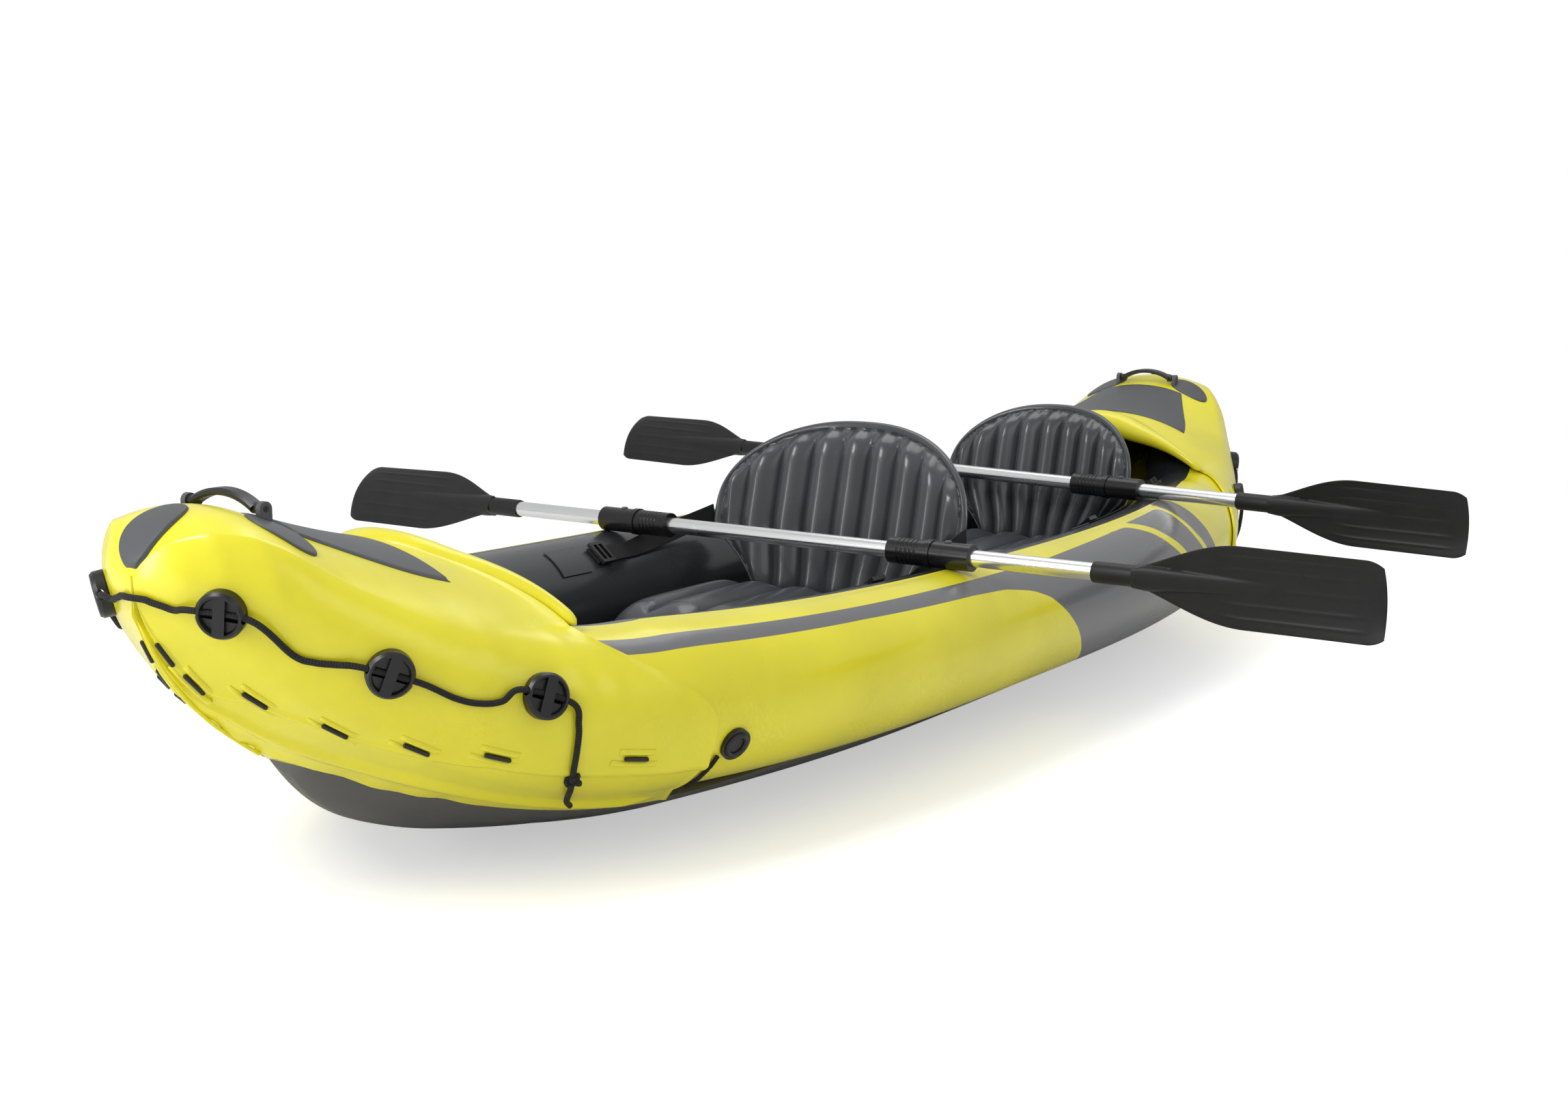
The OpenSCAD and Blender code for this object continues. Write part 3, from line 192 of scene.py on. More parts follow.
@dataclass
class Surface:
    """Points, faces and point attributes of one piece, gathered patch by patch."""

    points: list[Array] = field(default_factory=list)
    faces: list[list[int]] = field(default_factory=list)
    values: dict[str, list[Array]] = field(default_factory=dict)
    count: int = 0

    def grid(
        self, points: Array, wrap_rows: bool = False, wrap_columns: bool = False, **values: Array
    ) -> Surface:
        """Adds a grid of four-sided faces.

        Args:
            points: Rows by columns by three, in millimetres.
            wrap_rows: Whether the last row joins the first.
            wrap_columns: Whether the last column joins the first.
            **values: Attributes, each with one number a point.

        Returns:
            The surface itself.
        """
        m, n = points.shape[:2]
        i = np.arange(m if wrap_rows else m - 1)[:, None]
        j = np.arange(n if wrap_columns else n - 1)[None, :]
        i2, j2 = (i + 1) % m, (j + 1) % n
        quads = np.stack([i * n + j, i * n + j2, i2 * n + j2, i2 * n + j], -1).reshape(-1, 4)
        self.faces += (quads + self.count).tolist()
        self._take(points.reshape(-1, 3), values)
        return self

    def cap(self, ring: Array, **values: Array) -> Surface:
        """Adds a fan that closes a ring of points.

        Args:
            ring: Points of the ring, one a row.
            **values: Attributes, each with one number a point of the ring.

        Returns:
            The surface itself.
        """
        n = len(ring)
        j = np.arange(n)
        fan = np.stack([j, (j + 1) % n, np.full(n, n)], -1)
        self.faces += (fan + self.count).tolist()
        self._take(np.vstack([ring, ring.mean(0)]), {k: np.append(v, np.mean(v)) for k, v in values.items()})
        return self

    def loft(self, rings: Array, **values: Array) -> Surface:
        """Adds a skin over rings of points, closed by a fan at both ends.

        Args:
            rings: Grid with one ring a row.
            **values: Attributes, each with one number a point.

        Returns:
            The surface itself.
        """
        self.grid(rings, wrap_columns=True, **values)
        for row in (0, -1):
            self.cap(rings[row], **{k: v[row] for k, v in values.items()})
        return self

    def disc(self, top: Array, foot: Array) -> Surface:
        """Adds a closed round plate.

        Args:
            top: Grid of the upper face, with its rings from the middle outwards.
            foot: Grid of the lower face, likewise.

        Returns:
            The surface itself.
        """
        self.grid(top, wrap_columns=True).grid(foot, wrap_columns=True)
        return self.grid(np.stack([top[-1], foot[-1]]), wrap_columns=True).cap(top[0]).cap(foot[0])

    def sheet(self, outer: Array, inner: Array, **values: Array) -> Surface:
        """Adds a closed sheet between two grids of equal counts.

        Args:
            outer: Grid of the outer face.
            inner: Grid of the inner face.
            **values: Attributes on the outer face, repeated on the inner one.

        Returns:
            The surface itself.
        """
        both = {k: np.vstack([v, v[::-1]]) for k, v in values.items()}
        self.grid(np.vstack([outer, inner[::-1]]), wrap_rows=True, **both)
        for c in (0, -1):
            sides = {k: np.stack([v[:, c], v[:, c]]) for k, v in values.items()}
            self.grid(np.stack([outer[:, c], inner[:, c]]), **sides)
        return self

    def tube(self, path: Array, ups: Array, radius: Array | float, sides: int) -> Surface:
        """Adds a round tube along a path, with flat ends.

        Each ring lies in the plane of cross(up, t) and cross(t, that), where t is the path's direction.

        Args:
            path: Points of the middle line, one a row.
            ups: A direction for each point that isn't along the path.
            radius: Radius, or one for each point.
            sides: Points in a ring.

        Returns:
            The surface itself.
        """
        t = unit(np.gradient(path, axis=0))
        u = unit(np.cross(ups, t))
        w = np.cross(t, u)
        g = np.arange(sides) / sides * 2 * np.pi
        r = np.broadcast_to(np.asarray(radius, float), (len(path),))[:, None, None]
        rings = path[:, None] + r * (np.cos(g)[:, None] * u[:, None] + np.sin(g)[:, None] * w[:, None])
        along = np.repeat(run_along(path)[:, None], sides, 1)
        around = np.repeat(np.abs(np.arange(sides) / sides - 0.5)[None], len(path), 0)
        return self.loft(rings, along=along, around=around)

    def _take(self, points: Array, values: dict[str, Array]) -> None:
        """Keeps a patch, with 0 for a value that other patches have and it lacks.

        Args:
            points: Points of the patch, one a row.
            values: Attributes of the points.
        """
        n = len(points)
        self.points.append(points)
        for key in set(self.values) | set(values):
            rows = self.values.setdefault(key, [np.zeros(self.count)])
            rows.append(np.asarray(values[key], float).reshape(-1) if key in values else np.zeros(n))
        self.count += n

    def build(self, name: str, crease: float = 60.0) -> bpy.types.Object:
        """Makes the mesh, closes its seams, turns its faces outwards and shades it smooth.

        Args:
            name: Name of the piece.
            crease: Angle in degrees past which an edge stays sharp.

        Returns:
            The new object, at the origin.
        """
        mesh = bpy.data.meshes.new(name)
        mesh.from_pydata((np.vstack(self.points) * MM).tolist(), [], self.faces)
        for key, rows in self.values.items():
            layer = mesh.attributes.new(key, "FLOAT", "POINT")
            layer.data.foreach_set("value", np.concatenate(rows).astype(np.float32))
        bm = bmesh.new()
        bm.from_mesh(mesh)
        bmesh.ops.remove_doubles(bm, verts=bm.verts, dist=2e-6)
        bmesh.ops.dissolve_degenerate(bm, edges=bm.edges, dist=1e-6)
        bmesh.ops.recalc_face_normals(bm, faces=bm.faces)
        bm.to_mesh(mesh)
        bm.free()
        mesh.polygons.foreach_set("use_smooth", np.ones(len(mesh.polygons), bool))
        mesh.set_sharp_from_angle(angle=math.radians(crease))
        piece = bpy.data.objects.new(name, mesh)
        bpy.context.scene.collection.objects.link(piece)
        return piece


def mirrored(points: Array, end: End = End.BOW, side: Side = Side.PORT) -> Array:
    """Points of the port bow quarter, mirrored to another end or side."""
    return points * np.array([end.value, side.value, 1.0])


@dataclass(frozen=True)
class HullLines:
    """Sizes and curves of the hull as functions of s, the distance from amidships, in millimetres."""

    tip: float = 1450.0
    tube_r: float = 109.0
    tube_swell: float = 6.0
    tube_y: float = 354.0
    tube_lift: float = 88.0
    sheer: float = 16.0
    stem_rise: float = 205.0
    end_len: float = 560.0
    nose_len: float = 118.0
    deck_h: float = 427.0
    taper: float = 15.0
    tube_ease: float = 3.0
    cover_o: float = 5.5
    cover_gap: float = 2.5
    turn_angle: float = -67.0
    nose_share: float = 0.3
    chin_power: float = 3.0
    rake_power: float = 1.8
    rim_out: float = 16.0
    rim_drop: float = 12.0
    stem_drop: float = 38.0
    roll_back: float = 383.0
    corner_back: float = 443.0
    skirt_back: float = 576.0
    skirt_rake: float = 17.0
    rim_back: float = 643.0
    stem_back: float = 168.0
    edge_bow: float = 35.0
    wide_shoulder: float = 76.0
    nose_shoulder: float = 45.0
    shoulder_run: float = 180.0
    swell_end: float = 850.0
    taper_run: float = 400.0
    rise_run: float = 500.0
    sheer_back: float = 450.0
    deck_slope: float = 0.18
    deck_curve: float = 0.0004
    deck_fullness: float = 0.55

    @property
    def swept_s(self) -> float:
        """Where the end starts to sweep up."""
        return self.tip - self.end_len

    @property
    def nose_s(self) -> float:
        """Where the nose starts to round off."""
        return self.tip - self.nose_len

    @property
    def roll_s(self) -> float:
        """Where the deck ends at the splash roll."""
        return self.tip - self.roll_back

    @property
    def corner_s(self) -> float:
        """Where the cover's edge passes the shoulder."""
        return self.tip - self.corner_back

    @property
    def skirt_s(self) -> float:
        """Where the cover's skirt ends low on the side."""
        return self.tip - self.skirt_back

    @property
    def rim_s(self) -> float:
        """Where the rim leaves the tube's underside."""
        return self.tip - self.rim_back

    @property
    def stem_s(self) -> float:
        """Where the two rims meet at the stem."""
        return self.tip - self.stem_back

    def tube_yc(self, s: Array) -> Array:
        """Centre of a side tube: y (1 - (s/end)^3)^0.95."""
        return self.tube_y * np.maximum(0, 1 - (s / (self.tip - 2)) ** 3) ** 0.95

    def radius(self, s: Array) -> Array:
        """Radius of a side tube, with its swell and its taper under the cover."""
        swell = self.tube_swell * ramp(s / self.swell_end) ** 2
        return self.tube_r + swell - self.taper * ramp((s - self.swept_s) / self.taper_run)

    def low0(self, s: Array) -> Array:
        """Underside of the tubes: a cubic sheer and a square rise at the end."""
        rise = self.stem_rise * (np.maximum(0, s - self.swept_s) / self.rise_run) ** 2
        return self.tube_lift + self.sheer * (s / (self.tip - self.sheer_back)) ** 3 + rise

    def high0(self, s: Array) -> Array:
        """Crown of the deck: a slope and a slight upward curve."""
        d = s - self.roll_s
        return self.deck_h + self.deck_slope * d + self.deck_curve * d**2

    def bulge(self, s: Array, end: Array | float, power: float) -> Array:
        """Share of the section left at the nose: (1 - t^p)^(1/p)."""
        t = ramp((s - self.nose_s) / (end - self.nose_s))
        return np.maximum(0, 1 - t**power) ** (1 / power)

    def rounding(self, s: Array, end: Array | float) -> Array:
        """Share of the section's width left at the nose."""
        return self.bulge(s, end, 2)

    def low(self, s: Array, end: Array | float) -> Array:
        """Underside, with a full chin."""
        middle = mix(self.low0(s), self.high0(s), self.nose_share)
        return middle - (middle - self.low0(s)) * self.bulge(s, end, self.chin_power)

    def high(self, s: Array, end: Array | float) -> Array:
        """Deck, raked back from the nose."""
        middle = mix(self.low0(s), self.high0(s), self.nose_share)
        return middle + (self.high0(s) - middle) * self.bulge(s, end, self.rake_power)

    def inner_wall(self, x: Array) -> Array:
        """Inboard face of a side tube."""
        return self.tube_yc(np.abs(x)) - self.radius(np.abs(x))

    def rim_part(self, s: Array) -> Array:
        """Share of the way from the rim's start to the stem."""
        return ramp((s - self.rim_s) / (self.stem_s - self.rim_s))

    def rim_y(self, s: Array) -> Array:
        """Half-width between the rims of a cover."""
        return (self.tube_yc(np.float64(self.rim_s)) + self.rim_out) * (1 - self.rim_part(s) ** 1.4)

    def rim_fall(self, s: Array) -> Array:
        """Drop of the rim below the tubes."""
        return self.rim_drop + self.stem_drop * self.rim_part(s) ** 1.5

    def section(self, s: Array, a: Array, o: Array | float) -> tuple[Array, Array]:
        """Section of an end: 0 is the deck's middle, 1 the shoulder, 2 the turn below and 3 the rim.

        The deck is a quadratic curve, the side an arc round the tube and the skirt a straight line.

        Args:
            s: Distance from amidships.
            a: Place on the section, from 0 to 3.
            o: Offset outwards from the tubes.

        Returns:
            Half-width and height.
        """
        end = self.tip - self.cover_o + o
        f = self.rounding(s, end)
        low, high = self.low(s, end), self.high(s, end)
        r = (self.radius(s) + o) * f
        cy, cz = self.tube_yc(s), low + self.radius(s) * f
        narrowing = smooth((s - self.corner_s) / self.shoulder_run)
        shoulder = np.radians(mix(self.wide_shoulder, self.nose_shoulder, narrowing))
        turn = math.radians(self.turn_angle)
        py, pz = cy + r * np.cos(shoulder), cz + r * np.sin(shoulder)
        qy, qz = cy + r * math.cos(turn), cz + r * math.sin(turn)
        top = high + o * f
        rim_y = np.maximum(self.rim_y(s), 0.5 * f) + o * f * math.cos(turn)
        rim_z = low - self.rim_fall(s) * f + o * f * math.sin(turn)
        g = mix(shoulder, turn, a - 1)
        deck_y = 2 * a * (1 - a) * self.deck_fullness * py + a * a * py
        deck_z = (1 - a) ** 2 * top + 2 * a * (1 - a) * top + a * a * pz
        y = np.where(a <= 1, deck_y, np.where(a <= 2, cy + r * np.cos(g), mix(qy, rim_y, a - 2)))
        z = np.where(a <= 1, deck_z, np.where(a <= 2, cz + r * np.sin(g), mix(qz, rim_z, a - 2)))
        return y, z

    def end_point(self, s: Array, a: Array, o: Array | float) -> Array:
        """Place on the bow end.

        Args:
            s: Distance from amidships.
            a: Place on the section, below 0 to starboard.
            o: Offset outwards from the tubes.

        Returns:
            The points.
        """
        s, a, o = np.broadcast_arrays(*(np.asarray(value, float) for value in (s, a, o)))
        y, z = self.section(s, np.abs(a), o)
        return np.stack([s, np.where(a < 0, -y, y), z], -1)

    def end_axes(self, s: Array, a: Array) -> tuple[Array, Array, Array]:
        """Directions on the cover of the bow end.

        Args:
            s: Distance from amidships.
            a: Place on the section, below 0 to starboard.

        Returns:
            The directions along s, across it and outwards.
        """
        s, a = np.broadcast_arrays(np.asarray(s, float), np.asarray(a, float))
        u = self.end_point(s + 1, a, self.cover_o) - self.end_point(s - 1, a, self.cover_o)
        v = self.end_point(s, a + 0.01, self.cover_o) - self.end_point(s, a - 0.01, self.cover_o)
        u, n = unit(u), unit(np.cross(u, v))
        return u, np.cross(n, u), n

    def cover_edge(self, a: Array) -> Array:
        """Distance s of the cover's free edge: it bows on the deck, sweeps down the side and rakes below.

        Args:
            a: Places on the section, below 0 to starboard.

        Returns:
            The distance at each place.
        """
        a = np.abs(a)
        angle = mix(self.wide_shoulder, self.turn_angle, a - 1)
        deck = mix(self.roll_s + self.edge_bow, self.corner_s, smooth(a))
        side = mix(self.skirt_s, self.corner_s, smooth((angle + 5) / 75))
        skirt = mix(self.skirt_s, self.skirt_s - self.skirt_rake, a - 2)
        return np.where(a <= 1, deck, np.where(a <= 2, side, skirt))

    def tube_point(self, x: Array, angle: Array, o: Array | float) -> Array:
        """Place on the port tube.

        Args:
            x: Station along the hull.
            angle: Angle round the tube in degrees, where 0 faces outboard and 90 up.
            o: Offset outwards from the tube.

        Returns:
            The points.
        """
        x, angle, o = np.broadcast_arrays(*(np.asarray(value, float) for value in (x, angle, o)))
        s, g = np.abs(x), np.radians(angle)
        r = self.radius(s) + o
        y, z = self.tube_yc(s) + r * np.cos(g), self.low0(s) + self.radius(s) + r * np.sin(g)
        return np.stack([x, y, z], -1)

    def tube_out(self, x: Array, angle: Array) -> Array:
        """Outward direction on the port tube.

        Args:
            x: Station along the hull.
            angle: Angle round the tube in degrees.

        Returns:
            The directions.
        """
        u = self.tube_point(x + 1, angle, 0) - self.tube_point(x - 1, angle, 0)
        w = self.tube_point(x, angle, 1) - self.tube_point(x, angle, 0)
        u = unit(u)
        return np.cross(u, unit(np.cross(w, u)))


LINES = HullLines()


@dataclass
class Wiring:
    """Shorthand for adding and joining nodes in one tree."""

    tree: bpy.types.NodeTree

    def node(self, kind: str, **settings: object) -> bpy.types.Node:
        """Adds a node.

        Args:
            kind: Blender's name of the kind of node.
            **settings: Its properties, or its inputs by label with _ for a space.

        Returns:
            The node.
        """
        made = self.tree.nodes.new(kind)
        for key, value in settings.items():
            if hasattr(made, key):
                setattr(made, key, value)
            else:
                made.inputs[key.replace("_", " ")].default_value = value
        return made

    def join(self, source: bpy.types.NodeSocket, target: bpy.types.NodeSocket) -> None:
        """Links two sockets."""
        self.tree.links.new(source, target)

    def math(self, operation: str, a: object, b: object = 0.0, clamp: bool = False) -> bpy.types.NodeSocket:
        """A Math node on sockets or numbers.

        Args:
            operation: Blender's name of the operation.
            a: First socket or number.
            b: Second socket or number.
            clamp: Whether the result stays between 0 and 1.

        Returns:
            The result's socket.
        """
        made = self.node("ShaderNodeMath", operation=operation, use_clamp=clamp)
        for socket, value in zip(made.inputs, (a, b)):
            if isinstance(value, (int, float)):
                socket.default_value = value
            else:
                self.join(value, socket)
        return made.outputs[0]

    def step(self, value: bpy.types.NodeSocket, low: float, high: float) -> bpy.types.NodeSocket:
        """Soft step of a value from 0 to 1.

        Args:
            value: Socket of the value.
            low: Value where the step starts.
            high: Value where it ends.

        Returns:
            The step's socket.
        """
        made = self.node("ShaderNodeMapRange", interpolation_type="SMOOTHSTEP")
        self.join(value, made.inputs["Value"])
        made.inputs["From Min"].default_value = low
        made.inputs["From Max"].default_value = high
        return made.outputs[0]

    def noise(self, vector: bpy.types.NodeSocket, scale: float, detail: float = 3.0) -> bpy.types.NodeSocket:
        """Noise between 0 and 1.

        Args:
            vector: Socket of the place.
            scale: Waves in a metre, about.
            detail: Octaves of finer noise.

        Returns:
            The noise's socket.
        """
        made = self.node("ShaderNodeTexNoise", Scale=scale, Detail=detail)
        self.join(vector, made.inputs["Vector"])
        return made.outputs["Fac"]

    def blend(self, fac: object, a: object, b: object) -> bpy.types.NodeSocket:
        """Mix of two colours, each a socket or a colour.

        Args:
            fac: Share of the second colour.
            a: First colour.
            b: Second colour.

        Returns:
            The mixed colour's socket.
        """
        made = self.node("ShaderNodeMix", data_type="RGBA")
        for socket, value in zip((made.inputs[0], made.inputs[6], made.inputs[7]), (fac, a, b)):
            if isinstance(value, bpy.types.NodeSocket):
                self.join(value, socket)
            else:
                socket.default_value = (*value, 1.0) if isinstance(value, tuple) else value
        return made.outputs[2]


class Effects:
    """The shared effects, each a node group that is built once."""

    def __init__(self) -> None:
        """Builds every group."""
        self.skin = self._skin()
        self.grain = self._grain()
        self.scuff = self._scuff()
        self.braid = self._braid()
        self.brushed = self._brushed()

    @staticmethod
    def _group(
        name: str, inputs: dict[str, float | None], *outputs: str
    ) -> tuple[Wiring, bpy.types.NodeInputs, bpy.types.NodeInputs]:
        """Starts a node group with named sockets.

        Args:
            name: Name of the group.
            inputs: Default of each number that it takes, or None for a vector.
            *outputs: Names of the numbers that it gives.

        Returns:
            The group's wiring, the sockets that it is given and the sockets that it gives.
        """
        tree = bpy.data.node_groups.new(name, "ShaderNodeTree")
        for label, default in inputs.items():
            kind = "NodeSocketVector" if default is None else "NodeSocketFloat"
            socket = tree.interface.new_socket(name=label, in_out="INPUT", socket_type=kind)
            if default is not None:
                socket.default_value = default
        for label in outputs:
            tree.interface.new_socket(name=label, in_out="OUTPUT", socket_type="NodeSocketFloat")
        given, out = tree.nodes.new("NodeGroupInput"), tree.nodes.new("NodeGroupOutput")
        return Wiring(tree), given.outputs, out.inputs

    def _skin(self) -> bpy.types.NodeTree:
        """Laminated vinyl: a fine emboss, soft ripples and broad blotches.

        Returns:
            The group's tree.
        """
        inputs = {"Vector": None, "Emboss": 0.2, "Ripple": 1.0}
        w, given, out = self._group("vinyl_skin", inputs, "Height", "Blotch")
        fine = w.math("MULTIPLY", w.noise(given["Vector"], scale=700, detail=2), given["Emboss"])
        ripple = w.math("MULTIPLY", w.noise(given["Vector"], scale=16, detail=2.5), given["Ripple"])
        w.join(w.math("ADD", fine, ripple), out["Height"])
        broad = w.noise(given["Vector"], scale=5, detail=4)
        w.join(w.step(broad, low=0.3, high=0.72), out["Blotch"])
        return w.tree

    def _grain(self) -> bpy.types.NodeTree:
        """Moulded plastic: a fine spark-eroded grain and faint flow marks.

        Returns:
            The group's tree.
        """
        w, given, out = self._group("moulded_grain", {"Vector": None, "Scale": 900}, "Height", "Flow")
        fine = w.node("ShaderNodeTexVoronoi")
        w.join(given["Vector"], fine.inputs["Vector"])
        w.join(given["Scale"], fine.inputs["Scale"])
        w.join(fine.outputs["Distance"], out["Height"])
        w.join(w.noise(given["Vector"], scale=22, detail=4), out["Flow"])
        return w.tree

    def _scuff(self) -> bpy.types.NodeTree:
        """Faint rubbed patches and dust, as a mask.

        Returns:
            The group's tree.
        """
        w, given, out = self._group("scuffs", {"Vector": None, "Amount": 0.5}, "Mask")
        broad = w.step(w.noise(given["Vector"], scale=9, detail=6), low=0.48, high=0.75)
        fine = w.step(w.noise(given["Vector"], scale=140, detail=4), low=0.4, high=0.8)
        w.join(w.math("MULTIPLY", w.math("MULTIPLY", broad, fine), given["Amount"]), out["Mask"])
        return w.tree

    def _braid(self) -> bpy.types.NodeTree:
        """Crossing strands on a cord or strap, from its along and around attributes; the height also paints
        the colour, as painted shade in the grooves and a painted highlight on the crests.

        Returns:
            The group's tree.
        """
        w, given, out = self._group("braid", {"Along": 0, "Around": 0, "Pitch": 5, "Strands": 4}, "Height")
        run = w.math("MULTIPLY", w.math("DIVIDE", given["Along"], given["Pitch"]), math.tau)
        lap = w.math("MULTIPLY", w.math("MULTIPLY", given["Around"], given["Strands"]), math.tau)
        one = w.math("SINE", w.math("ADD", run, lap))
        two = w.math("SINE", w.math("SUBTRACT", run, lap))
        w.join(w.math("MULTIPLY", one, two), out["Height"])
        return w.tree

    def _brushed(self) -> bpy.types.NodeTree:
        """Fine lengthways drawing marks on a metal tube laid across the hull.

        Returns:
            The group's tree.
        """
        w, given, out = self._group("drawn_metal", {"Vector": None}, "Streak")
        stretch = w.node("ShaderNodeMapping", vector_type="POINT")
        stretch.inputs["Scale"].default_value = (420, 6, 420)
        w.join(given["Vector"], stretch.inputs["Vector"])
        w.join(w.noise(stretch.outputs["Vector"], scale=3, detail=3), out["Streak"])
        return w.tree


class Kind(Enum):
    """The kinds of surface that the finishes belong to."""

    VINYL = "vinyl"
    PRINTED = "printed"
    MOULDED = "moulded"
    CORD = "cord"
    METAL = "metal"


@dataclass(frozen=True)
class Finish:
    """One finish: its kind, colours and surface values."""

    name: str
    kind: Kind
    colour: Colour
    slot: str
    roughness: float = 0.4
    coat: float = 0.0
    coat_roughness: float = 0.1
    metallic: float = 0.0
    specular: float = 0.5
    bump: float = 0.15
    depth: float = 0.001
    ripple: float = 1.0
    emboss: float = 0.2
    tint: float = 0.06
    print_colour: Colour | None = None
    lining_colour: Colour | None = None
    print_edge: float = 0.6
    wear: float = 0.25
    pitch: float = 5.0
    strands: float = 4.0

    def material(self, effects: Effects) -> bpy.types.Material:
        """Makes the finish's material.

        Args:
            effects: The shared node groups.

        Returns:
            The material, ready for a piece.
        """
        made = bpy.data.materials.new(self.name)
        made.use_nodes = True
        w = Wiring(made.node_tree)
        shader = made.node_tree.nodes["Principled BSDF"]
        shader.inputs["Metallic"].default_value = self.metallic
        shader.inputs["Specular IOR Level"].default_value = self.specular
        shader.inputs["Coat Weight"].default_value = self.coat
        shader.inputs["Coat Roughness"].default_value = self.coat_roughness
        place = w.node("ShaderNodeTexCoord").outputs["Object"]
        height, shade = self._relief(w, effects, place)
        # Blends dark and light by the relief's share: random tone, except on cords and webbing, where it is
        # painted shade in the braid's grooves and a painted highlight on its crests.
        dark = tuple(c * (1 - 2 * self.tint) for c in self.colour)
        light = tuple(min(1.0, c * (1 + self.tint)) for c in self.colour)
        colour = w.blend(shade, dark, light)
        if self.kind is Kind.PRINTED:
            colour = self._print(w, colour)
        w.join(colour, shader.inputs["Base Color"])
        scuff = w.node("ShaderNodeGroup", node_tree=effects.scuff)
        w.join(place, scuff.inputs["Vector"])
        worn = w.math("MULTIPLY", scuff.outputs["Mask"], self.wear)
        rough = w.math("ADD", worn, self.roughness, clamp=True)
        w.join(rough, shader.inputs["Roughness"])
        relief = w.node("ShaderNodeBump", Strength=self.bump, Distance=self.depth)
        w.join(height, relief.inputs["Height"])
        w.join(relief.outputs["Normal"], shader.inputs["Normal"])
        return made

    def _relief(
        self, w: Wiring, effects: Effects, place: bpy.types.NodeSocket
    ) -> tuple[bpy.types.NodeSocket, bpy.types.NodeSocket]:
        """Height of the finish's own relief, and a light and dark share for its colour: random tone on vinyl,
        moulding and metal, painted shade and painted highlight on a braid.

        Args:
            w: Wiring of the material.
            effects: The shared node groups.
            place: Object coordinates.

        Returns:
            Sockets of the height and of the light and dark share.
        """
        if self.kind in (Kind.VINYL, Kind.PRINTED):
            skin = w.node("ShaderNodeGroup", node_tree=effects.skin)
            skin.inputs["Emboss"].default_value = self.emboss
            skin.inputs["Ripple"].default_value = self.ripple
            w.join(place, skin.inputs["Vector"])
            return skin.outputs["Height"], skin.outputs["Blotch"]
        if self.kind is Kind.CORD:
            braid = w.node("ShaderNodeGroup", node_tree=effects.braid)
            braid.inputs["Pitch"].default_value = self.pitch
            braid.inputs["Strands"].default_value = self.strands
            for label in ("Along", "Around"):
                read = w.node("ShaderNodeAttribute", attribute_name=label.lower())
                w.join(read.outputs["Fac"], braid.inputs[label])
            # The braid's height also sets the colour: painted shade between the strands, painted highlight on
            # their crests.
            return braid.outputs["Height"], w.step(braid.outputs["Height"], low=-1, high=1)
        if self.kind is Kind.METAL:
            drawn = w.node("ShaderNodeGroup", node_tree=effects.brushed)
            w.join(place, drawn.inputs["Vector"])
            return drawn.outputs["Streak"], drawn.outputs["Streak"]
        grain = w.node("ShaderNodeGroup", node_tree=effects.grain)
        w.join(place, grain.inputs["Vector"])
        return grain.outputs["Height"], grain.outputs["Flow"]

    def _print(self, w: Wiring, ground: bpy.types.NodeSocket) -> bpy.types.NodeSocket:
        """Lays the printed colour and the lining over the ground by signed distances on the mesh.

        Args:
            w: Wiring of the material.
            ground: Colour of the unprinted sheet.

        Returns:
            The finished colour.
        """
        colour = ground
        for label, layer in (("print", self.print_colour), ("lining", self.lining_colour)):
            if layer is not None:
                read = w.node("ShaderNodeAttribute", attribute_name=label)
                inside = w.step(read.outputs["Fac"], low=-self.print_edge, high=self.print_edge)
                colour = w.blend(inside, colour, layer)
        return colour


YELLOW: Colour = (0.93, 0.845, 0.030)
GREY: Colour = (0.165, 0.167, 0.174)
CHARCOAL: Colour = (0.030, 0.033, 0.037)
BLACK: Colour = (0.010, 0.010, 0.011)

HULL_VINYL = Finish(
    "hull_vinyl", Kind.PRINTED, YELLOW, "hull_vinyl", roughness=0.25, coat=0.25, coat_roughness=0.16,
    bump=0.1, depth=0.004, emboss=0.08, tint=0.04, print_colour=GREY, lining_colour=CHARCOAL)
COVER_VINYL = Finish(
    "cover_vinyl", Kind.VINYL, YELLOW, "hull_vinyl", roughness=0.23, coat=0.25, coat_roughness=0.18,
    bump=0.18, depth=0.004, tint=0.05)
SOLE_VINYL = Finish(
    "sole_vinyl", Kind.PRINTED, (0.10, 0.10, 0.106), "sole_vinyl", roughness=0.36, bump=0.2, depth=0.003,
    lining_colour=CHARCOAL)
SEAT_VINYL = Finish(
    "seat_vinyl", Kind.VINYL, (0.058, 0.064, 0.072), "seat_vinyl", roughness=0.3, coat=0.4,
    coat_roughness=0.14, bump=0.3, depth=0.003, tint=0.15)
PATCH_VINYL = Finish(
    "patch_vinyl", Kind.VINYL, (0.085, 0.091, 0.097), "patch_vinyl", roughness=0.42, bump=0.25, depth=0.002,
    emboss=0.5)
MOULDING = Finish(
    "moulding", Kind.MOULDED, BLACK, "moulding", roughness=0.34, bump=0.12, depth=0.0006, tint=0.2)
VALVE = Finish(
    "valve_plastic", Kind.MOULDED, (0.018, 0.019, 0.021), "valve_plastic", roughness=0.3, depth=0.0005)
